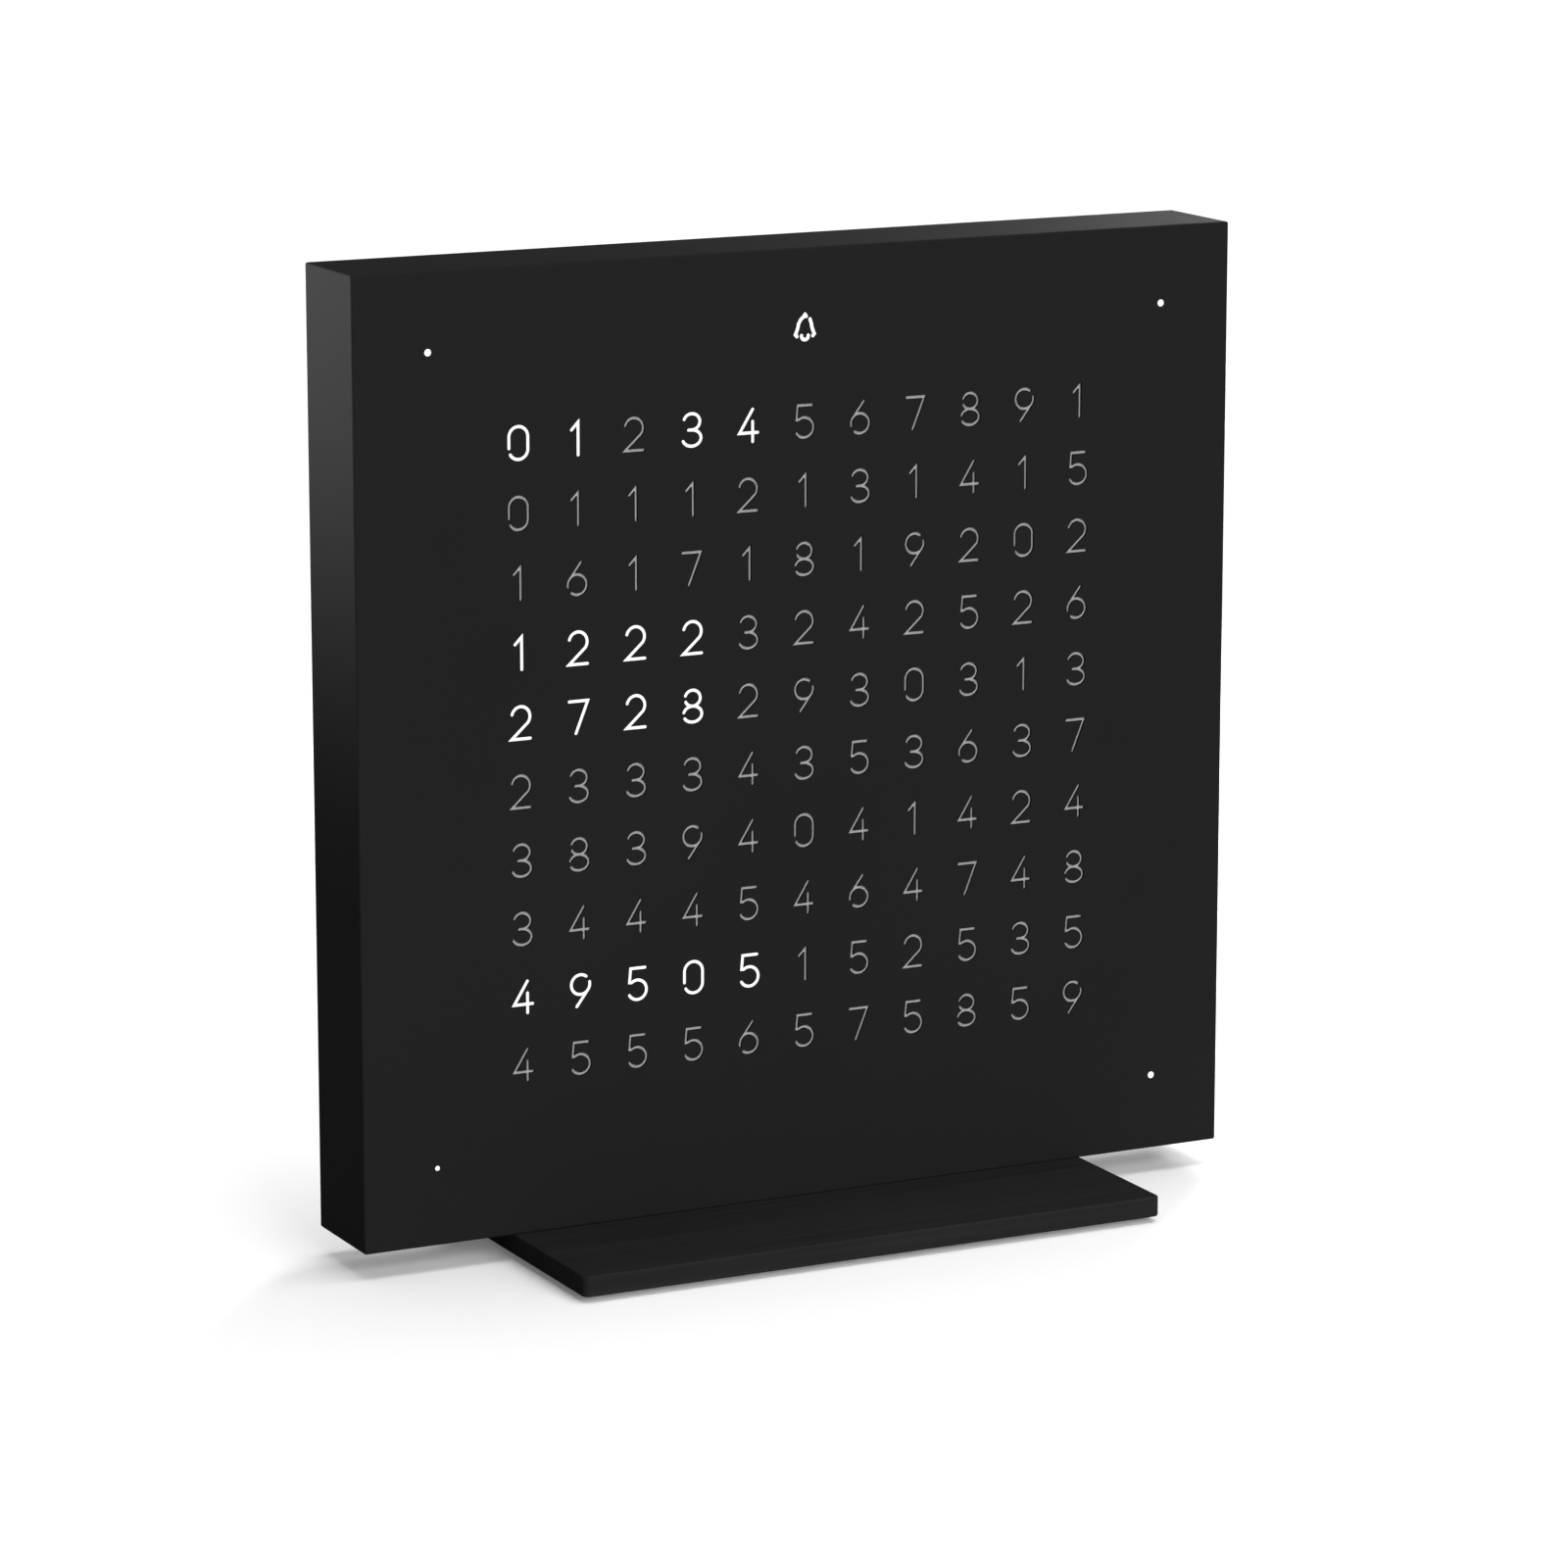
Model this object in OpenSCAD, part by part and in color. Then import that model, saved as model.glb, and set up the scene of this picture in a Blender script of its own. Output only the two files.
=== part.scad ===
// Table clock whose time is read from a field of lit numerals behind a cut steel face.
// Frame: X to the right seen from the front, Y towards the back, Z up.
// Origin: on the table, under the middle of the stand. All sizes in millimetres.

/* [Panel] */
// Width and height of the square steel shell
panel_size = 135; // [125:0.5:150]
// Depth of the shell from its face to its rear edge
shell_depth = 16; // [15.5:0.25:20]
// Sheet thickness of the shell
shell_wall = 1; // [0.6:0.1:1.4]
// Bevel on the outer edges of the shell
shell_bevel = 0.3; // [0.1:0.05:0.5]

/* [Numeral field] */
// Number of numeral columns
columns = 11; // [8:1:12]
// Number of numeral rows
rows = 10; // [6:1:10]
// Distance between two columns
column_pitch = 8.67; // [8:0.01:9]
// Distance between two rows
row_pitch = 9.64; // [8:0.02:9.7]
// Distance of the four minute dots from the edges of the face
dot_inset = 11; // [10:0.25:13]
// Diameter of the three plain minute dots
dot_d = 1; // [0.6:0.1:2]
// Diameter of the small minute dot at the lower left
small_dot_d = 0.7; // [0.5:0.1:2]
// Distance of the alarm symbol's middle from the top of the face
bell_inset = 11.3; // [10.5:0.1:12]
// Side of the square light well behind the alarm symbol
bell_well = 7.4; // [6:0.2:8]

/* [Light box] */
// Thickness of the opal diffuser sheet
diffuser_thickness = 1; // [0.6:0.1:1.5]
// Thickness of the walls between two wells
grid_rib = 0.9; // [0.6:0.1:1.4]
// Thickness of the outer wall of the light grid
grid_rim = 1.2; // [0.8:0.1:2]
// Outer diameter of the tubes behind the minute dots
dot_tube_d = 6.6; // [5:0.2:7]
// Wall of the tubes behind the minute dots
dot_tube_wall = 1; // [0.6:0.1:1.4]
// Free space between the shell and what is pushed into it
push_in_gap = 0.2; // [0.1:0.05:0.4]

/* [Display board] */
// Thickness of the display board
board_thickness = 1.6; // [1:0.1:2]
// Margin of the board inside the light grid
board_margin = 0.8; // [0.4:0.1:1.2]
// Free depth between the board and the rim of the rear cover
rear_space = 4.4; // [4:0.1:5]
// Length, width and height of one light-emitting diode
led_size = [3.5, 2.8, 0.8];
// Width, height and thickness of the light sensor
sensor_size = [1.8, 1.2, 0.7];

/* [Board parts] */
// Number of display drivers
driver_count = 4; // [2:1:4]
// Width, height and thickness of a display driver
driver_size = [15.4, 7.5, 2.4];
// Distance between two drivers
driver_pitch = 21; // [19:0.5:22]
// Height of the row of drivers above the middle of the panel (negative is below)
driver_height = -19; // [-20:0.5:-18]
// Width, height and thickness of the microcontroller
controller_size = [10, 10, 1.5];
// Place of the microcontroller, across and up from the middle
controller_place = [-28, 8];
// Width, height and thickness of the clock crystal's can
crystal_size = [5, 3.2, 1.1];
// Width, height and thickness of the voltage regulator
regulator_size = [6.5, 3.5, 1.7];
// Width, height and thickness of a small resistor or capacitor
passive_size = [2, 1.2, 0.6];
// Distance between two of them
passive_pitch = 3; // [2.4:0.1:3.4]
// Diameter of the smoothing capacitor's can
capacitor_d = 6.3; // [5:0.1:8]
// Height of the smoothing capacitor
capacitor_height = 5.4; // [4:0.1:5.8]
// Distance of the regulator and of the capacitor from the power inlet
supply_spread = 20; // [14:1:26]
// Diameter of the backup cell
cell_d = 20; // [16:0.5:24]
// Thickness of the backup cell
cell_t = 3.2; // [1.6:0.1:3.6]
// Place of the backup cell, across and up from the middle
cell_place = [28, 5];
// Width of the strap that holds the cell
cell_strap_w = 7; // [5:0.5:10]

/* [Stack fasteners] */
// Distance of the studs from the inside of the shell's walls
stud_inset = 5.1; // [4.8:0.1:5.4]
// Diameter of the welded studs
stud_d = 2.5; // [2:0.1:3]
// Length of stud that stands behind the board
stud_engagement = 1.8; // [1.5:0.1:2]
// Width across flats of the hexagonal pillars
pillar_af = 5; // [4.5:0.25:5.5]
// Diameter of the rear cover's screws
cover_screw_d = 2.5; // [2:0.1:3]
// Head diameter of the rear cover's screws
cover_screw_head_d = 4.7; // [4:0.1:5.5]
// Overall length of the rear cover's screws
cover_screw_l = 4; // [3.5:0.1:4.2]
// Diameter of the board's screws
board_screw_d = 2; // [1.6:0.1:2.4]
// Length of the board's screws under the head
board_screw_l = 5; // [4:0.25:6]
// Radial clearance of a screw or stud in its hole
screw_gap = 0.15; // [0.1:0.01:0.25]
// Radial clearance of a screw or stud in its thread
thread_gap = 0.03; // [0.02:0.01:0.06]

/* [Rear cover] */
// Wall thickness of the rear cover
cover_wall = 2; // [1.5:0.1:2.2]
// Width of the flat rim round the raised middle of the rear cover
plateau_margin = 15.5; // [14.5:0.5:17]
// Height of the raised middle over the rim
plateau_height = 2; // [1:0.25:3]
// Corner radius of the raised middle
plateau_radius = 8; // [5:0.5:10]
// Depth of the stiffening lip inside the shell
lip_depth = 2; // [1:0.25:2.5]
// Thickness of the stiffening lip
lip_wall = 1.4; // [1:0.1:1.6]
// Diameter of the posts that back the board
post_d = 5; // [4:0.25:6]
// Width and depth of the stiffening ribs inside the raised middle
cover_rib = [1, 0.8];
// Places of the ribs across and up from the middle: between the buttons and clear of the grille
cover_rib_x = [-40, -16, 16, 40];
cover_rib_z = [-26, -10, 22];
// Width of the slot in the lip that lets the touch contact past
contact_slot = 5; // [4:0.5:8]

/* [Buttons] */
// Number of buttons in the row
button_count = 4;
// Distance between two buttons
button_pitch = 16; // [13:0.5:18]
// Height of the row above the middle of the panel
button_height = 33; // [30:0.5:36]
// Diameter of a button cap
button_d = 7; // [5.5:0.1:8]
// How far a cap stands out of the cover
button_proud = 1.2; // [0.9:0.1:2]
// Travel of a button
button_travel = 0.5; // [0.3:0.05:0.7]
// Width of the flange that keeps a cap in the cover
button_flange = 1; // [0.6:0.1:1.5]
// Thickness of that flange
button_flange_t = 1; // [0.8:0.1:1.2]
// Radial clearance of a cap in the cover
button_gap = 0.15; // [0.1:0.05:0.3]
// Side of the square switch under a button
switch_size = 6; // [5:0.2:7]
// Height of the switch housing
switch_height = 3.5; // [3:0.1:4]
// Diameter of the switch plunger
plunger_d = 3.4; // [2.8:0.1:3.8]
// How far the plunger stands out of its housing
plunger_proud = 0.9; // [0.8:0.05:1]

/* [Sounder] */
// Diameter of the alarm sounder
sounder_d = 12; // [9:0.5:14]
// Height of the alarm sounder
sounder_height = 5.4; // [4:0.1:5.8]
// Height of the sounder above the middle of the panel
sounder_z = 7; // [4:0.5:10]
// Diameter of one grille hole
grille_hole_d = 1.3; // [0.8:0.1:1.8]
// Distance between two rings of grille holes
grille_pitch = 2.6; // [2.2:0.1:3]
// Number of rings round the middle hole
grille_rings = 3; // [1:1:3]

/* [Power inlet] */
// Height of the inlet above the middle of the panel (negative is below)
inlet_z = -37; // [-40:0.5:-34]
// Outer width of the inlet's metal shell
inlet_w = 8.9; // [8:0.1:10]
// Outer height of the inlet's metal shell
inlet_h = 3.2; // [2.8:0.1:4]
// Sheet thickness of the inlet's metal shell
inlet_sheet = 0.3; // [0.2:0.05:0.4]
// How far the inlet's mouth lies under the cover's surface
inlet_sunk = 0.6; // [0.3:0.1:1]

/* [Stand] */
// Width of the stand plate
stand_w = 90; // [70:1:120]
// Depth of the stand plate, front to back
stand_depth = 62; // [50:1:80]
// Thickness of the stand plate
stand_t = 3; // [2.6:0.1:6]
// Corner radius of the stand plate
stand_radius = 1; // [0.5:0.25:4]
// Diameter of one foot pad
pad_d = 10; // [6:0.5:12]
// Thickness of one foot pad
pad_t = 1.2; // [0.8:0.1:2]
// How deep a pad sits in the plate
pad_sunk = 0.4; // [0.2:0.1:0.6]
// Distance of a pad's middle from the plate's edges
pad_inset = 8; // [6.5:0.5:12]
// Diameter of the two stand screws
stand_screw_d = 4; // [3:0.25:4.5]
// Head diameter of the stand screws
stand_screw_head_d = 8; // [6.5:0.25:8.5]
// Overall length of the stand screws
stand_screw_l = 9; // [7:0.25:9.5]
// Distance between the two stand screws
stand_screw_pitch = 44; // [30:1:50]
// Length, depth and height of the bar that the stand is screwed to
bar_size = [60, 9, 6];

/* [Hidden] */

$fn = 48;
cut = 1;        // how far a cutting shape runs past the face that it opens
bite = 0.5;     // how far a boss or lip runs into the wall that carries it
seat_gap = 0.1; // free space round a piece that drops into a recess

// Heights from the table up
pad_proud = pad_t - pad_sunk;
stand_top_z = pad_proud + stand_t;
centre_z = stand_top_z + panel_size / 2;

// Depths from the face to the back
front_y = -shell_depth / 2;
diffuser_y = front_y + shell_wall;
grid_y = diffuser_y + diffuser_thickness;
shell_back_y = shell_depth / 2;
cover_y = shell_back_y - cover_wall;
board_back_y = cover_y - rear_space;
board_y = board_back_y - board_thickness;
plateau_back_y = shell_back_y + plateau_height;
plateau_inner_y = plateau_back_y - cover_wall;

// Outlines inside the shell
inner_size = panel_size - 2 * shell_wall;
insert_size = inner_size - 2 * push_in_gap;
board_size = insert_size - 2 * board_margin;
block_w = columns * column_pitch + grid_rib;
block_h = rows * row_pitch + grid_rib;
bar_floor = -inner_size / 2;
bar_notch = [bar_size[0] + 2 * push_in_gap, bar_size[2] + push_in_gap];

// Boss and screw places on the panel, as [x, z] from its middle
stud_places = [for (sx = [-1, 1], sz = [-1, 1]) [sx, sz] * (inner_size / 2 - stud_inset)];
dot_places = [for (sx = [-1, 1], sz = [-1, 1]) [sx, sz] * (panel_size / 2 - dot_inset)];
bell_height = panel_size / 2 - bell_inset;
plateau_size = panel_size - 2 * plateau_margin;
side_boss = (block_w / 2 + insert_size / 2 - grid_rim) / 2;
board_screw_places = concat(
    [for (sx = [-1, 1], sz = [-1, 1]) [sx * side_boss, sz * row_pitch * 2]],
    [for (sx = [-1, 1])
        [sx * (columns / 2 - 2) * column_pitch, (block_h / 2 + insert_size / 2 - grid_rim) / 2]]);
post_places = [for (sx = [-1, 1]) [sx * (button_pitch * 1.5 + switch_size + post_d / 2), button_height]];
boss_d = 5.2;
stud_boss_d = 6.4;

// Buttons and switches
// Button 0 is the left one as seen from behind
button_x = [for (i = [0:button_count - 1]) ((button_count - 1) / 2 - i) * button_pitch];
switch_top_y = board_back_y + switch_height;
plunger_top_y = switch_top_y + plunger_proud;
plunger_collar = [0.5, 0.6];   // how far the collar stands out, and its thickness
switch_roof = 0.5;             // thickness of the housing over the collar
switch_bore = 2.2;             // depth of the housing's bore

// Stand
pad_places = [for (sx = [-1, 1], sy = [-1, 1])
    [sx * (stand_w / 2 - pad_inset), sy * (stand_depth / 2 - pad_inset)]];
stand_screw_x = [-1, 1] * stand_screw_pitch / 2;
countersink_depth = (stand_screw_head_d - stand_screw_d) / 2;
cover_sink_depth = (cover_screw_head_d - cover_screw_d) / 2;

// ---- shapes used by several pieces ----

// Runs an outline drawn in X and Z from y0 to y1, at the panel's height
module from_to(y0, y1)
    translate([0, y1, centre_z]) rotate([90, 0, 0]) linear_extrude(y1 - y0) children();

// A round bar along Y
module rod(place, y0, y1, d, d_end = undef)
    translate([place[0], y0, centre_z + place[1]]) rotate([-90, 0, 0])
        cylinder(h = y1 - y0, d1 = d, d2 = is_undef(d_end) ? d : d_end);

// A block on the panel: its middle as [x, z], its depths, and its width and height
module block(place, y0, y1, w, h)
    translate([place[0] - w / 2, y0, centre_z + place[1] - h / 2]) cube([w, y1 - y0, h]);

module centred(w, h) square([w, h], center = true);

module rounded(w, h, r) {
    centred(w - 2 * r, h);
    centred(w, h - 2 * r);
    for (sx = [-1, 1], sz = [-1, 1]) translate([sx * (w / 2 - r), sz * (h / 2 - r)]) circle(r);
}

module bevelled(w, h, c)
    polygon([[c - w / 2, -h / 2], [w / 2 - c, -h / 2], [w / 2, c - h / 2], [w / 2, h / 2 - c],
        [w / 2 - c, h / 2], [c - w / 2, h / 2], [-w / 2, h / 2 - c], [-w / 2, c - h / 2]]);

// A box with a bevel on all twelve edges
module bevelled_box(w, d, h, c) intersection() {
    linear_extrude(h, center = true) bevelled(w, d, c);
    rotate([90, 0, 0]) linear_extrude(d, center = true) bevelled(w, h, c);
    rotate([90, 0, 90]) linear_extrude(w, center = true) bevelled(d, h, c);
}

// A raised pad whose sides slope in all round from y0 out to y1, rooted in the wall before y0
module sloped_pad(size, radius, y0, y1) {
    slope = y1 - y0;
    straight = size - 2 * radius;
    from_to(y0 - bite, y0) rounded(size, size, radius);
    for (sx = [-1, 1], sz = [-1, 1])
        rod([sx, sz] * straight / 2, y0, y1, 2 * radius, 2 * (radius - slope));
    for (turn = [0, 90]) translate([0, 0, centre_z]) rotate([0, turn, 0])
        linear_extrude(straight, center = true)
            polygon([[-size / 2, y0], [size / 2, y0], [size / 2 - slope, y1], [slope - size / 2, y1]]);
}

// ---- panel ----

module front_shell() color("#242424") difference() {
    translate([0, 0, centre_z]) bevelled_box(panel_size, shell_depth, panel_size, shell_bevel);
    from_to(diffuser_y, shell_back_y + cut) centred(inner_size, inner_size);
    for (p = dot_places)
        rod(p, front_y - cut, diffuser_y + cut, p[0] < 0 && p[1] < 0 ? small_dot_d : dot_d);
    for (x = stand_screw_x) translate([x, 0, stand_top_z - cut])
        cylinder(h = shell_wall + 2 * cut, d = stand_screw_d + 2 * screw_gap);
}

module weld_studs() color("silver")
    for (p = stud_places) rod(p, diffuser_y, board_back_y + stud_engagement, stud_d);

module diffuser_sheet() color("whitesmoke") from_to(diffuser_y, grid_y) difference() {
    centred(insert_size, insert_size);
    for (p = stud_places) translate(p) circle(d = stud_d + 2 * screw_gap);
}

// Well walls, rim, corner webs, tubes and bosses of the light grid, as one outline
module grid_walls() {
    difference() {
        centred(insert_size, insert_size);
        centred(insert_size - 2 * grid_rim, insert_size - 2 * grid_rim);
    }
    for (i = [0:columns]) translate([(i - columns / 2) * column_pitch, 0]) centred(grid_rib, insert_size);
    for (i = [0:rows]) translate([0, (i - rows / 2) * row_pitch]) centred(insert_size, grid_rib);
    for (turn = [45, 135]) rotate(turn) difference() {
        centred(insert_size * sqrt(2) - 2 * grid_rim, grid_rib);
        centred(sqrt(block_w * block_w + block_h * block_h) - 2 * grid_rib, 2 * grid_rib);
    }
    for (p = dot_places) translate(p) circle(d = dot_tube_d);
    for (p = stud_places) translate(p) circle(d = stud_boss_d);
    for (p = board_screw_places) translate(p) circle(d = boss_d);
    translate([0, bell_height]) centred(bell_well + 2 * grid_rib, bell_well + 2 * grid_rib);
    translate([0, bar_floor]) centred(bar_notch[0] + 2 * grid_rib, 2 * (bar_notch[1] + grid_rib));
}

module light_grid() color("white") from_to(grid_y, board_y) difference() {
    intersection() {
        grid_walls();
        centred(insert_size, insert_size);
    }
    for (p = dot_places) translate(p) circle(d = dot_tube_d - 2 * dot_tube_wall);
    for (p = stud_places) translate(p) circle(d = stud_d + 2 * screw_gap);
    for (p = board_screw_places) translate(p) circle(d = board_screw_d + 2 * thread_gap);
    translate([0, bell_height]) centred(bell_well, bell_well);
    translate([0, bar_floor]) centred(bar_notch[0], 2 * bar_notch[1]);
}

// ---- display board and what is soldered to it ----

module display_board() color("darkgreen") from_to(board_y, board_back_y) difference() {
    rounded(board_size, board_size, 2);
    for (p = stud_places) translate(p) circle(d = stud_d + 2 * screw_gap);
    for (p = board_screw_places) translate(p) circle(d = board_screw_d + 2 * screw_gap);
    translate([0, bar_floor]) centred(bar_notch[0], 2 * bar_notch[1]);
}

module led(place) block(place, board_y - led_size[2], board_y, led_size[0], led_size[1]);

module leds() color("lemonchiffon") {
    for (i = [0:columns - 1], j = [0:rows - 1])
        led([(i - (columns - 1) / 2) * column_pitch, (j - (rows - 1) / 2) * row_pitch]);
    led([0, bell_height]);
    for (p = dot_places) led(p);
}

// Looks out through the last numeral's well, beside its diode
module light_sensor() color("black")
    block([(columns - 1) / 2 * column_pitch, -(rows - 1) / 2 * row_pitch - led_size[1] / 2 - sensor_size[1]],
        board_y - sensor_size[2], board_y, sensor_size[0], sensor_size[1]);

leg = [0.4, 0.9, 0.25];   // width of a chip's leg, its length past the body and its thickness

// A block that lies on the back of the board
module on_board(place, size) block(place, board_back_y, board_back_y + size[2], size[0], size[1]);

// A chip on the back of the board, with a row of legs on two sides
module chip(place, size, legs) {
    leg_pitch = (size[0] - 2 * leg[0]) / (legs - 1);
    block(place, board_back_y + leg[2], board_back_y + size[2], size[0], size[1]);
    for (i = [0:legs - 1])
        on_board(place + [(i - (legs - 1) / 2) * leg_pitch, 0], [leg[0], size[1] + 2 * leg[1], 2 * leg[2]]);
}

driver_places = [for (i = [0:driver_count - 1]) [(i - (driver_count - 1) / 2) * driver_pitch, driver_height]];

module led_drivers() color("#202020") for (p = driver_places) chip(p, driver_size, 12);

module microcontroller() color("#202020") chip(controller_place, controller_size, 10);

module clock_crystal() color("silver")
    on_board(controller_place - [0, controller_size[1] / 2 + leg[1] + crystal_size[1]], crystal_size);

module voltage_regulator() color("#202020") chip([-supply_spread, inlet_z], regulator_size, 3);

// Small chip resistors and capacitors under the drivers
module chip_passives() color("tan") for (p = driver_places, i = [-2:2])
    on_board(p + [i * passive_pitch, -driver_size[1] / 2 - leg[1] - 3 * passive_size[1]], passive_size);

module smoothing_capacitor() color("silver") {
    base = [capacitor_d + 0.3, capacitor_d + 0.3, 1];
    on_board([supply_spread, inlet_z], base);
    rod([supply_spread, inlet_z], board_back_y + base[2], board_back_y + capacitor_height, capacitor_d);
}

module backup_cell() color("silver") {
    rim = 1.2;
    rod(cell_place, board_back_y, board_back_y + cell_t - rim, cell_d - 2);
    rod(cell_place, board_back_y + cell_t - rim, board_back_y + cell_t, cell_d);
}

// Sheet strap that holds the cell down on the board
module cell_clip() color("gold") {
    sheet = 0.4;
    foot = 2.5;
    reach = cell_d / 2 + seat_gap;
    strap_y = board_back_y + cell_t;
    block(cell_place, strap_y, strap_y + sheet, 2 * (reach + sheet), cell_strap_w);
    for (side = [-1, 1]) {
        on_board(cell_place + [side * (reach + sheet / 2), 0], [sheet, cell_strap_w, cell_t + sheet]);
        on_board(cell_place + [side * (reach + (foot + sheet) / 2), 0], [foot + sheet, cell_strap_w, sheet]);
    }
}

module alarm_sounder() color("#181818") difference() {
    rod([0, sounder_z], board_back_y, board_back_y + sounder_height, sounder_d);
    rod([0, sounder_z], board_back_y + sounder_height / 2, board_back_y + sounder_height + cut, 2.4);
}

// Upright inlet: a drawn sheet shell, open to the back, with a floor as the tongue's root
inlet_mouth_y = plateau_back_y - inlet_sunk;
inlet_floor = 1;
tongue_sunk = 1;
tongue = [inlet_w - 2.2, 0.7];
mouth_rim = 1.8;        // how wide the cover's recess runs round the mouth

module inlet_outline(grow = 0) {
    h = inlet_h + 2 * grow;
    rounded(inlet_w + 2 * grow, h, h / 2 - 0.01);
}

module power_inlet() color("silver") difference() {
    from_to(board_back_y, inlet_mouth_y) translate([0, inlet_z]) inlet_outline();
    from_to(board_back_y + inlet_floor, inlet_mouth_y + cut)
        translate([0, inlet_z]) inlet_outline(-inlet_sheet);
}

module inlet_tongue() color("#181818")
    block([0, inlet_z], board_back_y + inlet_floor, inlet_mouth_y - tongue_sunk, tongue[0], tongue[1]);

// Leaf spring that carries the touch on the steel shell to the board
module touch_contact() color("gold") {
    sheet = 0.2;
    width = 3;
    knee = 1.4;     // height of the upright arm under the shell
    back = 2.4;     // depth of the spring behind the board
    reach = inner_size / 2;
    foot = reach - board_size / 2 + 4;
    translate([-width / 2, board_back_y, centre_z + reach]) rotate([90, 0, 90]) linear_extrude(width) {
        translate([0, -foot]) square([sheet, foot - knee]);
        translate([0, -knee - sheet]) square([back, sheet]);
        translate([back - sheet, -knee - sheet]) square([sheet, knee + sheet]);
        translate([back - knee, -sheet]) square([knee, sheet]);
    }
}

// ---- buttons ----

module switch_housings() color("#202020") for (x = button_x) difference() {
    tab = [1.2, switch_size - 1, 0.3];      // soldering tab: its reach, width and thickness
    union() {
        on_board([x, button_height], [switch_size, switch_size, switch_height]);
        on_board([x, button_height], [switch_size + 2 * tab[0], tab[1], tab[2]]);
    }
    rod([x, button_height], switch_top_y - switch_bore, switch_top_y + cut, plunger_d + 2 * button_gap);
    rod([x, button_height], switch_top_y - switch_bore, switch_top_y - switch_roof,
        plunger_d + 2 * (plunger_collar[0] + button_gap));
}

module plunger(i) color("ivory") {
    place = [button_x[i], button_height];
    collar_y = switch_top_y - switch_roof;
    rod(place, collar_y, plunger_top_y, plunger_d);
    rod(place, collar_y - plunger_collar[1], collar_y, plunger_d + 2 * plunger_collar[0]);
}

// A turned cap: boss on the plunger, flange behind the cover, and a dished, rounded crown
module button(i) color("#1c1c1c") translate([button_x[i], 0, centre_z + button_height]) rotate([-90, 0, 0])
    rotate_extrude() {
        flange_y = plateau_inner_y - button_flange_t;
        crown_y = plateau_back_y + button_proud;
        round_r = 0.5;
        dish = 0.25;
        r = button_d / 2;
        polygon(concat(
            [[0, plunger_top_y], [plunger_d / 2, plunger_top_y], [plunger_d / 2, flange_y],
             [r + button_flange, flange_y], [r + button_flange, plateau_inner_y], [r, plateau_inner_y]],
            [for (a = [0:15:90]) [r - round_r + round_r * cos(a), crown_y - round_r + round_r * sin(a)]],
            [[r * 0.6, crown_y - dish], [0, crown_y - dish]]));
    }

// ---- rear cover ----

module grille(y0, y1) {
    rod([0, sounder_z], y0, y1, grille_hole_d);
    for (ring = [1:grille_rings], i = [0:6 * ring - 1]) {
        turn = 360 / (6 * ring) * i;
        rod([sin(turn), cos(turn)] * ring * grille_pitch + [0, sounder_z], y0, y1, grille_hole_d);
    }
}

module rear_cover() color("#1c1c1c") {
    cavity = plateau_size - 2 * cover_wall - 2 * plateau_height;
    difference() {
        union() {
            from_to(cover_y, shell_back_y) centred(insert_size, insert_size);
            sloped_pad(plateau_size, plateau_radius, shell_back_y, plateau_back_y);
        }
        from_to(cover_y - cut, plateau_inner_y) rounded(cavity, cavity, plateau_radius - cover_wall);
        for (x = button_x)
            rod([x, button_height], plateau_inner_y - cut, plateau_back_y + cut, button_d + 2 * button_gap);
        grille(plateau_inner_y - cut, plateau_back_y + cut);
        from_to(plateau_inner_y - cut, plateau_back_y + cut) translate([0, inlet_z]) inlet_outline(seat_gap);
        from_to(inlet_mouth_y, plateau_back_y + cut) translate([0, inlet_z]) inlet_outline(mouth_rim);
        for (p = stud_places) {
            rod(p, cover_y - cut, shell_back_y, cover_screw_d + 2 * screw_gap);
            rod(p, shell_back_y - cover_sink_depth - screw_gap, shell_back_y,
                cover_screw_d, cover_screw_head_d + 2 * screw_gap);
        }
    }
    from_to(cover_y - lip_depth, cover_y + bite) difference() {
        centred(insert_size, insert_size);
        centred(insert_size - 2 * lip_wall, insert_size - 2 * lip_wall);
        translate([0, bar_floor]) centred(bar_notch[0], 2 * bar_notch[1]);
        for (p = stud_places) translate(p) circle(d = pillar_af * 2 / sqrt(3) + 2 * screw_gap);
        translate([0, inner_size / 2]) centred(contact_slot, 4 * lip_wall);
    }
    for (p = post_places) rod(p, board_back_y, plateau_inner_y + bite, post_d);
    from_to(plateau_inner_y - cover_rib[1], plateau_inner_y + bite) {
        for (x = cover_rib_x) translate([x, 0]) centred(cover_rib[0], cavity);
        for (z = cover_rib_z) translate([0, z]) centred(cavity, cover_rib[0]);
    }
}

// ---- fasteners ----

// Pan-head screws that hold the board to the light grid
module board_screws() color("silver") for (p = board_screw_places) {
    head_d = board_screw_d * 1.9;
    head_side = 0.7;
    head_t = 1.3;
    rod(p, board_back_y - board_screw_l, board_back_y, board_screw_d);
    rod(p, board_back_y, board_back_y + head_side, head_d);
    rod(p, board_back_y + head_side, board_back_y + head_t, head_d, board_screw_d * 1.3);
}

module pillars() color("goldenrod") for (p = stud_places) difference() {
    translate([p[0], board_back_y, centre_z + p[1]]) rotate([-90, 0, 0])
        cylinder(h = cover_y - board_back_y, d = pillar_af * 2 / sqrt(3), $fn = 6);
    rod(p, board_back_y - cut, cover_y + cut, max(stud_d, cover_screw_d) + 2 * thread_gap);
}

module cover_screws() color("#303030") for (p = stud_places) {
    rod(p, shell_back_y - cover_screw_l, shell_back_y, cover_screw_d);
    rod(p, shell_back_y - cover_sink_depth, shell_back_y, cover_screw_d, cover_screw_head_d);
}

// ---- stand ----

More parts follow.
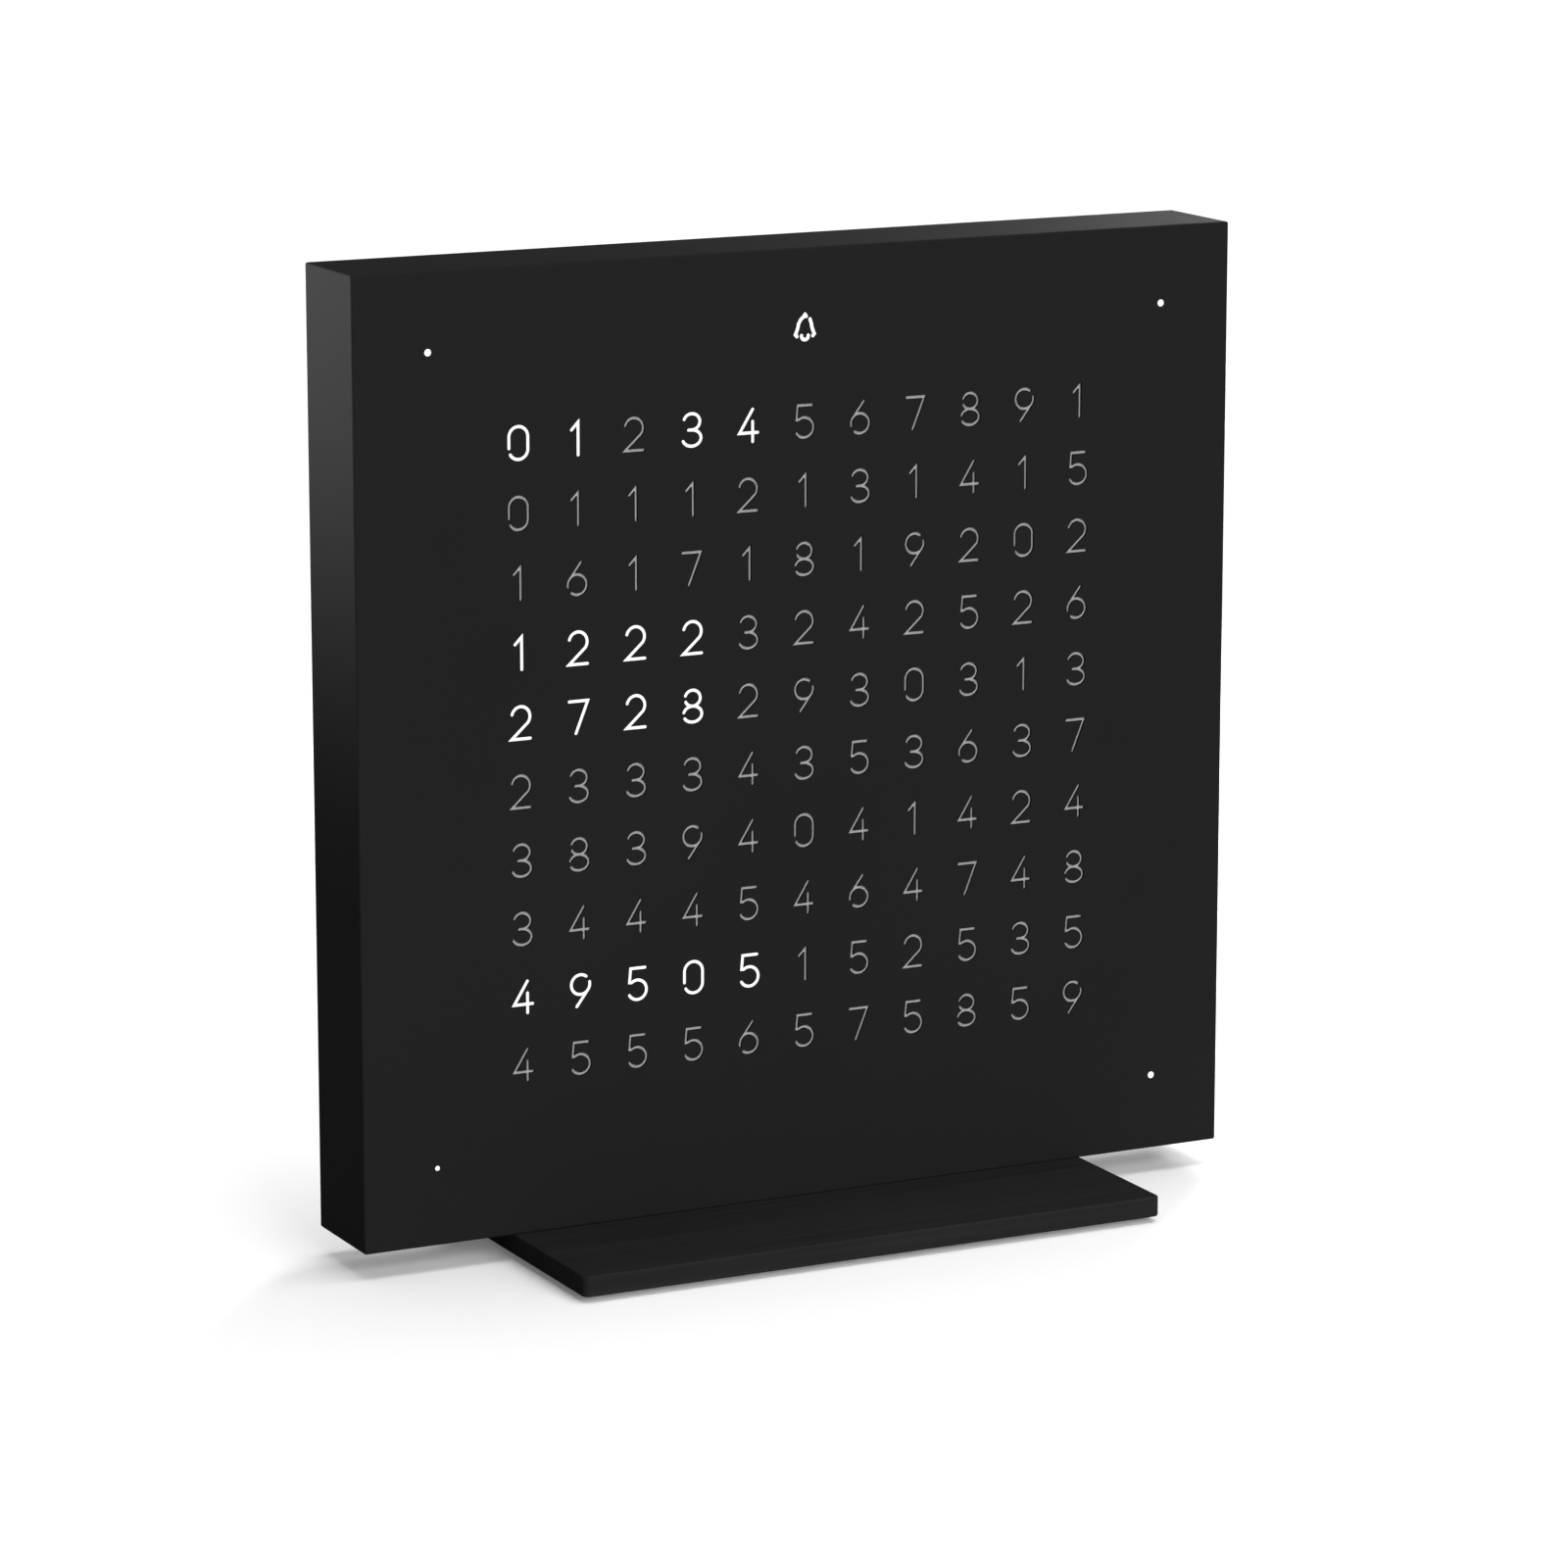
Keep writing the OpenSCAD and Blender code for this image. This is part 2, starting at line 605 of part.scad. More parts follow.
module mounting_bar() color("silver") translate([0, 0, stand_top_z + shell_wall]) difference() {
    translate([-bar_size[0] / 2, -bar_size[1] / 2, 0]) cube(bar_size);
    for (x = stand_screw_x) translate([x, 0, -cut])
        cylinder(h = bar_size[2] + 2 * cut, d = stand_screw_d + 2 * thread_gap);
}

module stand_plate() color("#1e1e1e") difference() {
    translate([0, 0, pad_proud]) linear_extrude(stand_t) rounded(stand_w, stand_depth, stand_radius);
    for (p = pad_places) translate([p[0], p[1], pad_proud - cut])
        cylinder(h = cut + pad_sunk, d = pad_d + 2 * seat_gap);
    for (x = stand_screw_x) translate([x, 0, pad_proud]) {
        translate([0, 0, -cut]) cylinder(h = stand_t + 2 * cut, d = stand_screw_d + 2 * screw_gap);
        cylinder(h = countersink_depth + screw_gap,
            d1 = stand_screw_head_d + 2 * screw_gap, d2 = stand_screw_d);
    }
}

module stand_screws() color("#303030") for (x = stand_screw_x) translate([x, 0, pad_proud]) {
    cylinder(h = stand_screw_l, d = stand_screw_d);
    cylinder(h = countersink_depth, d1 = stand_screw_head_d, d2 = stand_screw_d);
}

module foot_pads() color("#141414") for (p = pad_places) translate([p[0], p[1], 0]) rotate_extrude()
    polygon([[0, 0], [pad_d / 2 - 0.3, 0], [pad_d / 2, 0.3], [pad_d / 2, pad_t], [0, pad_t]]);

front_shell();
weld_studs();
diffuser_sheet();
light_grid();
display_board();
leds();
light_sensor();
led_drivers();
microcontroller();
clock_crystal();
chip_passives();
voltage_regulator();
smoothing_capacitor();
cell_clip();
backup_cell();
alarm_sounder();
power_inlet();
inlet_tongue();
touch_contact();
switch_housings();
plunger(0);  // hour_plunger
plunger(1);  // minute_plunger
plunger(2);  // alarm_plunger
plunger(3);  // dimmer_plunger
button(0);  // hour_button
button(1);  // minute_button
button(2);  // alarm_button
button(3);  // dimmer_button
board_screws();
pillars();
rear_cover();
cover_screws();
mounting_bar();
stand_plate();
stand_screws();
foot_pads();
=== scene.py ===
"""Dresses a table clock whose numerals are cut through a black steel face and lit from behind."""

import math

import bmesh
import bpy
from bpy.props import FloatProperty, FloatVectorProperty, IntProperty, IntVectorProperty, PointerProperty
from mathutils import Matrix, Vector
from mathutils.geometry import delaunay_2d_cdt


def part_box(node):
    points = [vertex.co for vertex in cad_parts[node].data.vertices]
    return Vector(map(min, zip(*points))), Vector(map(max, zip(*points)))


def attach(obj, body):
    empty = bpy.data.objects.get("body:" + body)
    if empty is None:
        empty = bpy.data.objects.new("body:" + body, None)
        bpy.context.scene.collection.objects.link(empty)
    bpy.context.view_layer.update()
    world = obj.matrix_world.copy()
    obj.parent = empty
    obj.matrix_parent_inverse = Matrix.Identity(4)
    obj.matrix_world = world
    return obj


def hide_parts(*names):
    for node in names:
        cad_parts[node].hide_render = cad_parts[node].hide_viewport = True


bl_info = {
    "name": "Numeral Clock Dressing",
    "version": (1, 0, 0),
    "blender": (4, 5, 0),
    "location": "View3D > Sidebar > Clock",
    "description": "Cuts and lights the numerals of a steel table clock and finishes all its pieces",
    "category": "Object",
}

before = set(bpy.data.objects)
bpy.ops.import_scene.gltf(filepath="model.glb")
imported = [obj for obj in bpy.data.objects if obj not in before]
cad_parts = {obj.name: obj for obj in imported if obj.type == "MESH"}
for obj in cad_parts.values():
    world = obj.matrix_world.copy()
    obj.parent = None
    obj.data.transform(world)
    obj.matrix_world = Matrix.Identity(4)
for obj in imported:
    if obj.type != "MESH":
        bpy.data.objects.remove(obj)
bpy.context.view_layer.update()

MM = 0.001
# Points that lie closer than this are merged.
WELD = 0.001 * MM
# Lengths that differ by less than this count as equal.
NEAR = 0.01 * MM
WHITE = (1, 1, 1, 1)
BLACK = (0, 0, 0, 1)
BODY = "clock"
SHELL_LOW, SHELL_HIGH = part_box("front_shell")
STAND_LOW, STAND_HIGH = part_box("stand_plate")
COVER_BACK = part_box("rear_cover")[1].y
CENTRE_Z = (SHELL_LOW.z + SHELL_HIGH.z) / 2
HALF_FACE = (SHELL_HIGH.x - SHELL_LOW.x) / 2
DIFFUSER_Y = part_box("diffuser_sheet")[0].y
FACE_T = DIFFUSER_Y - SHELL_LOW.y
BUTTONS = ["hour_button", "minute_button", "alarm_button", "dimmer_button"]
RUNS = ["run_1", "run_2", "run_3", "run_4", "run_5"]


# ---- settings that a user would change ----


class FaceSettings(bpy.types.PropertyGroup):
    """Sizes of the face and of the field of numerals cut through it."""

    edge_radius: FloatProperty(
        name="Edge radius", description="Rounding of the shell's folded edges",
        default=0.3 * MM, unit="LENGTH",
    )
    columns: IntProperty(name="Columns", description="Numerals in a row", default=11)
    rows: IntProperty(name="Rows", description="Rows of numerals", default=10)
    column_pitch: FloatProperty(
        name="Column pitch", description="Distance between two columns",
        default=8.67 * MM, unit="LENGTH",
    )
    row_pitch: FloatProperty(
        name="Row pitch", description="Distance between two rows",
        default=9.64 * MM, unit="LENGTH",
    )
    numeral_w: FloatProperty(
        name="Numeral width", description="Width of a numeral at its stroke's middle line",
        default=2.8 * MM, unit="LENGTH",
    )
    numeral_h: FloatProperty(
        name="Numeral height", description="Height of a numeral at its stroke's middle line",
        default=4.5 * MM, unit="LENGTH",
    )
    stroke: FloatProperty(
        name="Stroke", description="Width of the slots that draw the numerals",
        default=0.42 * MM, unit="LENGTH",
    )
    inlay_sunk: FloatProperty(
        name="Inlay depth", description="How far the inlays lie under the face",
        default=0.34 * MM, unit="LENGTH",
    )
    dot_inset: FloatProperty(
        name="Dot inset", description="Distance of the corner dots from the face's edges",
        default=11 * MM, unit="LENGTH",
    )
    dot_d: FloatProperty(
        name="Dot", description="Diameter of a corner dot",
        default=1 * MM, unit="LENGTH",
    )
    small_dot_d: FloatProperty(
        name="Small dot", description="Diameter of the lower left dot",
        default=0.7 * MM, unit="LENGTH",
    )
    bell_inset: FloatProperty(
        name="Bell inset", description="Distance of the alarm symbol from the top of the face",
        default=11.3 * MM, unit="LENGTH",
    )
    bell_h: FloatProperty(
        name="Bell height", description="Height of the alarm symbol",
        default=4.3 * MM, unit="LENGTH",
    )
    bell_stroke: FloatProperty(
        name="Bell stroke", description="Width of the slots that draw the alarm symbol",
        default=0.5 * MM, unit="LENGTH",
    )


class LitSettings(bpy.types.PropertyGroup):
    """Runs of numerals that are lit, each as its row, its first column and its last, counted from 0."""

    run_1: IntVectorProperty(name="Run 1", description="Row, first and last column", default=(0, 0, 1))
    run_2: IntVectorProperty(name="Run 2", description="Row, first and last column", default=(0, 3, 4))
    run_3: IntVectorProperty(name="Run 3", description="Row, first and last column", default=(3, 0, 3))
    run_4: IntVectorProperty(name="Run 4", description="Row, first and last column", default=(4, 0, 3))
    run_5: IntVectorProperty(name="Run 5", description="Row, first and last column", default=(8, 0, 4))


class StandSettings(bpy.types.PropertyGroup):
    """Edges and coat of the stand plate."""

    edge_radius: FloatProperty(
        name="Edge radius", description="Rounding of the plate's outer edges",
        default=0.3 * MM, unit="LENGTH",
    )
    # Painted light: the stand's coat is the shell's made lighter, standing in for the brighter light on the
    # stand's faces.
    painted_lightness: FloatProperty(
        name="Lightness", description="Its colour as a multiple of the shell's",
        default=1.3,
    )
    streak: FloatProperty(
        name="Streaks", description="Strength of the brushed streaks under its coat",
        default=0.6, min=0.0, max=1.0, subtype="FACTOR",
    )


class MarkSettings(bpy.types.PropertyGroup):
    """Marks printed on the rear cover over the buttons."""

    size: FloatProperty(
        name="Mark size", description="Width and height of a mark",
        default=3.6 * MM, unit="LENGTH",
    )
    stroke: FloatProperty(
        name="Mark stroke", description="Width of the printed lines",
        default=0.36 * MM, unit="LENGTH",
    )
    proud: FloatProperty(
        name="Mark thickness", description="How far the print stands proud of the cover",
        default=0.08 * MM, unit="LENGTH",
    )
    gap: FloatProperty(
        name="Mark gap", description="Height of a mark's middle over its button",
        default=4 * MM, unit="LENGTH",
    )


class FinishSettings(bpy.types.PropertyGroup):
    """Colours of the main finishes."""

    powder: FloatVectorProperty(
        name="Powder coat", description="Colour of the coated steel", subtype="COLOR",
        default=(0.0149, 0.0149, 0.0151),
    )
    cover: FloatVectorProperty(
        name="Cover plastic", description="Colour of the rear cover", subtype="COLOR",
        default=(0.02, 0.02, 0.021),
    )
    unlit: FloatVectorProperty(
        name="Unlit inlay", description="Colour of the inlays that are dark", subtype="COLOR",
        default=(0.38, 0.38, 0.375),
    )
    glow: FloatProperty(name="Glow", description="Strength of the lit inlays", default=1.0)


class StageSettings(bpy.types.PropertyGroup):
    """Camera, light and floor of the studio."""

    azimuth: FloatProperty(
        name="Azimuth", description="Camera's turn about the clock, 0 from the front",
        default=math.radians(-26.6), subtype="ANGLE",
    )
    elevation: FloatProperty(
        name="Elevation", description="Camera's height over the horizon",
        default=math.radians(12.01), subtype="ANGLE",
    )
    camera_x: FloatProperty(
        name="Camera X", description="Camera's place across",
        default=-379.4 * MM, unit="LENGTH",
    )
    camera_y: FloatProperty(
        name="Camera Y", description="Camera's place in depth",
        default=-759.2 * MM, unit="LENGTH",
    )
    camera_z: FloatProperty(
        name="Camera Z", description="Camera's height",
        default=242.5 * MM, unit="LENGTH",
    )
    lens: FloatProperty(
        name="Lens", description="Focal length on a 36 mm sensor, in millimetres",
        default=141.2, unit="CAMERA",
    )
    sky: FloatProperty(name="Sky", description="Strength of the light from all round", default=0.1)
    key: FloatProperty(name="Key", description="Strength of the soft sun", default=3.05)
    top: FloatProperty(name="Top", description="Strength of the soft sun from above", default=1.9)
    left_rim: FloatProperty(
        name="Left rim", description="Watts of the spot on the left side",
        default=18.0, unit="POWER",
    )
    right_rim: FloatProperty(
        name="Right rim", description="Watts of the lamp behind on the right",
        default=1.25, unit="POWER",
    )
    floor: FloatVectorProperty(
        name="Floor", description="Colour of the floor", subtype="COLOR",
        default=(0.45, 0.45, 0.45),
    )


# ---- writing node trees as expressions ----


class Wire:
    """An output socket that Python's operators feed into Math nodes."""

    def __init__(self, graph, socket):
        self.graph = graph
        self.socket = socket

    def maths(self, operation, *values):
        return self.graph.maths(operation, self, *values)

    def __add__(self, other):
        return self.maths("ADD", other)

    def __sub__(self, other):
        return self.maths("SUBTRACT", other)

    def __mul__(self, other):
        return self.maths("MULTIPLY", other)

    def __truediv__(self, other):
        return self.maths("DIVIDE", other)

    def __mod__(self, other):
        return self.maths("MODULO", other)

    def __gt__(self, other):
        return self.maths("GREATER_THAN", other)

    def __lt__(self, other):
        return self.maths("LESS_THAN", other)

    def __rsub__(self, other):
        return self.graph.maths("SUBTRACT", other, self)

    def __abs__(self):
        return self.maths("ABSOLUTE")

    __radd__ = __add__
    __rmul__ = __mul__

    def floor(self):
        return self.maths("FLOOR")

    def round(self):
        return self.maths("ROUND")

    def biggest(self, other):
        return self.maths("MAXIMUM", other)

    def smallest(self, other):
        return self.maths("MINIMUM", other)


class Graph:
    """A shader or geometry tree, with one method that adds any node."""

    def __init__(self, tree):
        self.tree = tree

    def feed(self, slot, value):
        """Links a wire to an input socket, or sets the socket to a plain value."""
        if isinstance(value, Wire):
            self.tree.links.new(value.socket, slot)
        else:
            slot.default_value = value

    def node(self, kind, settings=None, inputs=None, output=0):
        """Adds a node, sets it up and feeds its inputs; a list of wires goes into one input together."""
        made = self.tree.nodes.new(kind)
        for name, value in (settings or {}).items():
            setattr(made, name, value)
        for name, value in (inputs or {}).items():
            for one in value if isinstance(value, list) else [value]:
                self.feed(made.inputs[name], one)
        return Wire(self, made.outputs[output])

    def maths(self, operation, *values):
        """Adds a Math node, which works in both kinds of tree."""
        return self.node("ShaderNodeMath", {"operation": operation}, dict(enumerate(values)))

    def within(self, value, low, high):
        """1 where the value lies between low and high, and 0 elsewhere."""
        return (value > low) * (value < high)

    def colour_mix(self, factor, first, second):
        """A blend of two colours, which the node takes at its inputs 6 and 7 and gives at its output 2."""
        settings = {"data_type": "RGBA"}
        return self.node("ShaderNodeMix", settings, {0: factor, 6: first, 7: second}, output=2)

    def axes(self, vector):
        """The three parts of a vector."""
        first = self.node("ShaderNodeSeparateXYZ", inputs={0: vector})
        return [Wire(self, socket) for socket in first.socket.node.outputs]

    def place(self):
        """Where a point of the piece lies, in metres."""
        return self.node("ShaderNodeTexCoord", output="Object")

    def tint(self, factor, colour, low, high=1.0):
        """A colour that is low times as strong where the factor is 0, and high times where it is 1."""
        first, second = (rgba([c * times for c in colour]) for times in (low, high))
        return self.colour_mix(factor, first, second)

    def grain(self, size, detail=2.0, stretch=(1, 1, 1)):
        """Noise with features of about that size, drawn out along an axis by a small stretch."""
        mapped = self.node("ShaderNodeMapping", inputs={"Vector": self.place(), "Scale": stretch})
        inputs = {"Vector": mapped, "Scale": 1 / size, "Detail": detail}
        return self.node("ShaderNodeTexNoise", inputs=inputs)

    def bump(self, height, depth, strength=1.0):
        """A normal tipped as if the height, from 0 to 1, stood that deep on the surface."""
        inputs = {"Strength": strength, "Distance": depth, "Height": height}
        return self.node("ShaderNodeBump", inputs=inputs)


def rgba(colour):
    """A colour with the alpha that a colour socket takes."""
    return (*colour, 1.0)


def finish(name, **sockets):
    """A new material and the graph that its maths goes into; constants are set on the shader's sockets."""
    material = bpy.data.materials.new(name)
    material.use_nodes = True
    graph = Graph(material.node_tree)
    dress(graph, sockets)
    return material, graph


def dress(graph, sockets):
    """Feeds values and wires to a material's shader, each to the socket of that name."""
    shader = graph.tree.nodes["Principled BSDF"]
    for socket, value in sockets.items():
        graph.feed(shader.inputs[socket.replace("_", " ")], value)


# ---- finishes ----


def powder_coat(name, colour, streak=0.0):
    """Fine matt powder coat on steel. Where the steel was brushed first, streaks along X show through."""
    material, graph = finish(name, Specular_IOR_Level=0.005)
    orange_peel = graph.grain(0.5 * MM, detail=3.0)
    shade = graph.grain(40 * MM)
    spread = 0.08 + streak
    height = orange_peel
    roughness = 0.66 + 0.1 * orange_peel
    if streak:
        lines = graph.grain(1.4 * MM, detail=4.0, stretch=(0.02, 1, 1))
        shade = shade * (1 - streak) + lines * streak
        height = orange_peel * (1 - streak) + lines * streak
        roughness = roughness + (lines - 0.5) * 0.3 * streak
    dress(graph, {
        "Base Color": graph.tint(shade, colour, 1 - spread, 1 + spread),
        "Roughness": roughness,
        "Normal": graph.bump(height, 0.012 * MM, 0.35),
    })
    return material, graph


def face_coat_painted_glow(colour, face, runs):
    """The powder coat of the shell, with a painted glow on the slot walls beside lit inlays: emission that
    stands in for the light those inlays throw on the walls.
    """
    material, graph = powder_coat("face_powder_coat", colour)
    x, y, z = graph.axes(graph.place())
    normal_y = graph.axes(graph.node("ShaderNodeNewGeometry", output="Normal"))[1]
    wall = (abs(normal_y) < 0.5) * graph.within(y, SHELL_LOW.y + 2 * NEAR, DIFFUSER_Y)
    left = -face.columns / 2 * face.column_pitch
    top = CENTRE_Z + face.rows / 2 * face.row_pitch
    lit = 0.0
    for row, first, last in runs:
        across = graph.within(x, left + first * face.column_pitch, left + (last + 1) * face.column_pitch)
        up = graph.within(z, top - (row + 1) * face.row_pitch, top - row * face.row_pitch)
        lit = lit + across * up
    # Above and below the field lie the symbol and the dots, which are always lit.
    above_or_below = 1 - graph.within(z, top - face.rows * face.row_pitch, top)
    edge = HALF_FACE - 1.5 * FACE_T
    always = above_or_below * (abs(x) < edge) * (abs(z - CENTRE_Z) < edge)
    # Painted light: the walls beside lit inlays glow with emission, standing in for the inlays' light
    # falling on them.
    glow = graph.colour_mix(wall * lit.biggest(always), BLACK, WHITE)
    dress(graph, {"Emission Color": glow, "Emission Strength": 1.0})
    return material


def moulded_plastic(name, colour, texture=0.35, depth=0.02, roughness=0.5):
    """Moulded plastic with a spark-eroded texture of that size and depth in millimetres."""
    material, graph = finish(name, Specular_IOR_Level=0.4)
    skin = graph.grain(texture * MM, detail=4.0)
    flow = graph.grain(30 * MM)
    dress(graph, {
        "Base Color": graph.tint(flow, colour, 0.9, 1.1),
        "Roughness": roughness + 0.2 * (skin - 0.5),
        "Normal": graph.bump(skin, depth * MM, 0.6),
    })
    return material


def worked_metal(name, colour, roughness, stretch=(1, 1, 1)):
    """Bare or plated metal with fine working marks, drawn out along an axis by a small stretch."""
    material, graph = finish(name, Metallic=1.0)
    marks = graph.grain(0.2 * MM, detail=3.0, stretch=stretch)
    stain = graph.grain(6 * MM)
    dress(graph, {
        "Base Color": graph.tint(stain, colour, 0.88),
        "Roughness": roughness + 0.25 * (marks - 0.5) + 0.1 * stain,
        "Normal": graph.bump(marks, 0.006 * MM, 0.4),
    })
    return material


def board_laminate(colour):
    """Solder mask over copper tracks, which show as paler lines that run across or up by patches."""
    material, graph = finish("solder_mask")
    x, _, z = graph.axes(graph.place())
    pitch, track_share = 2.54 * MM, 0.22
    weave = graph.grain(0.4 * MM)
    patch = graph.grain(12 * MM) > 0.5
    across = abs(z / pitch % 1.0) < track_share
    upward = abs(x / pitch % 1.0) < track_share
    track = across * patch + upward * (1 - patch)
    dress(graph, {
        "Base Color": graph.tint(track, colour, 1.0, 1.9),
        "Roughness": 0.3 + 0.15 * weave,
        "Normal": graph.bump(track, 0.035 * MM, 0.5),
    })
    return material


def lit_opal(strength):
    """Opal plastic lit from behind, faintly cloudy."""
    material, graph = finish("lit_opal", Base_Color=(0.2, 0.2, 0.2, 1), Emission_Strength=strength)
    haze = graph.grain(3 * MM)
    dress(graph, {
        "Emission Color": graph.colour_mix(haze, (0.96, 0.97, 1, 1), WHITE),
        "Roughness": 0.4 + 0.2 * haze,
    })
    return material


def opal(name, colour, roughness=0.45):
    """Unlit opal or white plastic."""
    material, graph = finish(name, Specular_IOR_Level=0.3)
    haze = graph.grain(2 * MM, detail=3.0)
    tone = graph.tint(haze, colour, 0.93)
    dress(graph, {"Base Color": tone, "Roughness": roughness + 0.15 * (haze - 0.5)})
    return material


def rubber(name, colour):
    """Rubber with a dusty bloom of that colour over a darker body."""
    material, graph = finish(name, Specular_IOR_Level=0.3)
    bloom = graph.grain(1.5 * MM, detail=5.0)
    dress(graph, {
        "Base Color": graph.tint(bloom, colour, 0.4),
        "Roughness": 0.75 + 0.15 * bloom,
        "Normal": graph.bump(bloom, 0.02 * MM, 0.5),
    })
    return material


# ---- meshes ----


def linked(name, mesh):
    """A new object in the scene, of a mesh, a lamp or a camera."""
    made = bpy.data.objects.new(name, mesh)
    bpy.context.scene.collection.objects.link(made)
    return made


def mesh_from(name, bm):
    """Turns a bmesh into a mesh and frees it."""
    mesh = bpy.data.meshes.new(name)
    bm.to_mesh(mesh)
    bm.free()
    return mesh


def arc(x, z, rx, rz, start, end, steps=16):
    """Points on an ellipse from one angle to another, in degrees."""
    angles = [math.radians(start + (end - start) * i / steps) for i in range(steps + 1)]
    return [(x + rx * math.cos(a), z + rz * math.sin(a)) for a in angles]


def slot_outline(path, half, cap_steps=6):
    """Outline of a slot that a round cutter of that half width leaves along a path, with mitred bends."""
    shortest, mitre_limit = half * 0.02, 0.3
    path = [Vector(p) for p in path]
    path = [p for i, p in enumerate(path) if i == 0 or (p - path[i - 1]).length > shortest]
    runs = [(b - a).normalized() for a, b in zip(path, path[1:])]

    def side(sign):
        points = []
        for i, p in enumerate(path):
            before, after = runs[max(i - 1, 0)], runs[min(i, len(runs) - 1)]
            bisector = (before + after).normalized()
            reach = half / max(bisector.dot(after), mitre_limit)
            points.append(p + sign * reach * Vector((-bisector.y, bisector.x)))
        return points

    def cap(end, run):
        turns = [math.pi * (0.5 - i / cap_steps) for i in range(1, cap_steps)]
        square = Vector((-run.y, run.x))
        return [end + half * (math.cos(t) * run + math.sin(t) * square) for t in turns]

    left, right = side(1), side(-1)
    return left + cap(path[-1], runs[-1]) + right[::-1] + cap(path[0], -runs[0])


def flat_union(name, outlines):
    """A flat mesh in X and Y of everything inside the outlines."""
    tolerance = 0.0001 * MM
    points = [p for outline in outlines for p in outline]
    faces, start = [], 0
    for outline in outlines:
        faces.append(list(range(start, start + len(outline))))
        start += len(outline)
    verts, _, triangles, *_ = delaunay_2d_cdt(points, [], faces, 1, tolerance)
    bm = bmesh.new()
    corners = [bm.verts.new((p.x, p.y, 0)) for p in verts]
    for triangle in triangles:
        bm.faces.new([corners[i] for i in triangle])
    bmesh.ops.recalc_face_normals(bm, faces=bm.faces)
    if bm.faces[:] and sum(f.normal.z for f in bm.faces) < 0:
        bmesh.ops.reverse_faces(bm, faces=bm.faces)
    return mesh_from(name, bm)


def slotted(name, strokes, width):
    """A flat mesh of the slots of that width along the strokes."""
    return flat_union(name, [slot_outline(stroke, width / 2) for stroke in strokes])


def numeral_strokes(digit, k):
    """The slots of a digit in a box from -1 to 1 both ways; k is the height of a round end there.

    A closed loop has a gap at its lower left, where the steel holds the middle in place.
    """
    six = [[(0.42, 1)] + arc(0, k - 1, 1, k, 150, 192), arc(0, k - 1, 1, k, 232, 510, 28)]
    return {
        0: [[(-1, -0.3)] + arc(0, 1 - k, 1, k, 180, 0) + arc(0, k - 1, 1, k, 0, -150)],
        1: [[(-0.55, 0.55), (0.15, 1), (0.15, -1)]],
        2: [arc(0, 1 - k, 0.97, k, 165, -38, 22) + [(-1, -1), (1, -1)]],
        3: [
            arc(0, 0.5, 0.88, 0.5, 160, -90, 22) + [(-0.35, 0)],
            [(-0.35, 0)] + arc(0, -0.5, 1, 0.5, 90, -160, 22),
        ],
        4: [[(0.45, 1), (-1, -0.45), (1, -0.45)], [(0.45, 0.25), (0.45, -1)]],
        5: [[(0.85, 1), (-0.72, 1), (-0.85, 0.12)] + arc(0, k - 1, 1, k, 128, -150, 24)],
        6: six,
        7: [[(-1, 1), (1, 1), (-0.3, -1)]],
        8: [arc(0, 0.5, 0.84, 0.5, 160, -155, 26), arc(0, -0.5, 1, 0.5, 165, -150, 26)],
        9: [[(-x, -z) for x, z in stroke] for stroke in six],
    }[digit]


def numeral_mesh(digit, face):
    """A digit's slots at their real size, flat and about the origin."""
    half_w, half_h = face.numeral_w / 2, face.numeral_h / 2
    strokes = numeral_strokes(digit, half_w / half_h)
    scaled = [[(x * half_w, z * half_h) for x, z in stroke] for stroke in strokes]
    return slotted(f"numeral_{digit}", scaled, face.stroke)


def bell_strokes(height):
    """Slots of the alarm symbol: the bell's left side with its crown, its right side, and the clapper."""
    side = [(0.37, 0.64), (0.46, 0.36), (0.5, 0.13), (0.59, -0.12), (0.68, -0.32), (0.57, -0.44)]
    left = [(0, 0.88), (-0.28, 0.66)] + [(-x, z) for x, z in side[1:]]
    crown = [[(-0.08, 0.82), (0.01, 0.97)], [(0.01, 0.97), (0.1, 0.83)]]
    clapper = [(-0.24, -0.4)] + arc(0, -0.45, 0.24, 0.22, 180, 360, 10) + [(0.24, -0.4)]
    strokes = [left, *crown, side, clapper]
    return [[(x * height / 2, z * height / 2) for x, z in stroke] for stroke in strokes]


# ---- geometry node trees ----


def new_tree(name, inputs):
    """A geometry tree with those named inputs; returns its graph and a dict of its input wires."""
    tree = bpy.data.node_groups.new(name, "GeometryNodeTree")
    for label, kind in inputs.items():
        tree.interface.new_socket(label, in_out="INPUT", socket_type="NodeSocket" + kind)
    tree.interface.new_socket("Geometry", in_out="OUTPUT", socket_type="NodeSocketGeometry")
    graph = Graph(tree)
    source = tree.nodes.new("NodeGroupInput")
    return graph, {label: Wire(graph, source.outputs[label]) for label in inputs}


def close_tree(graph, geometry, material):
    """Ends a tree in Realize Instances and Set Material."""
    real = graph.node("GeometryNodeRealizeInstances", inputs={0: geometry})
    painted = graph.node("GeometryNodeSetMaterial", inputs={"Geometry": real, "Material": material})
    sink = graph.tree.nodes.new("NodeGroupOutput")
    graph.feed(sink.inputs[0], painted)


def grown(name, graph, values):
    """The plain mesh object that a tree makes from these input values."""
    host = linked(name + "_host", bpy.data.meshes.new(name + "_host"))
    modifier = host.modifiers.new("tree", "NODES")
    modifier.node_group = graph.tree
    for item in graph.tree.interface.items_tree:
        if item.in_out == "INPUT":
            modifier[item.identifier] = values[item.name]
    evaluated = host.evaluated_get(bpy.context.evaluated_depsgraph_get())
    mesh = bpy.data.meshes.new_from_object(evaluated)
    mesh.name = name
    # The empty host can leave an empty slot before that of the tree's material.
    if mesh.materials[0] is None:
        mesh.materials.pop(index=0)
    bpy.data.objects.remove(host)
    return linked(name, mesh)


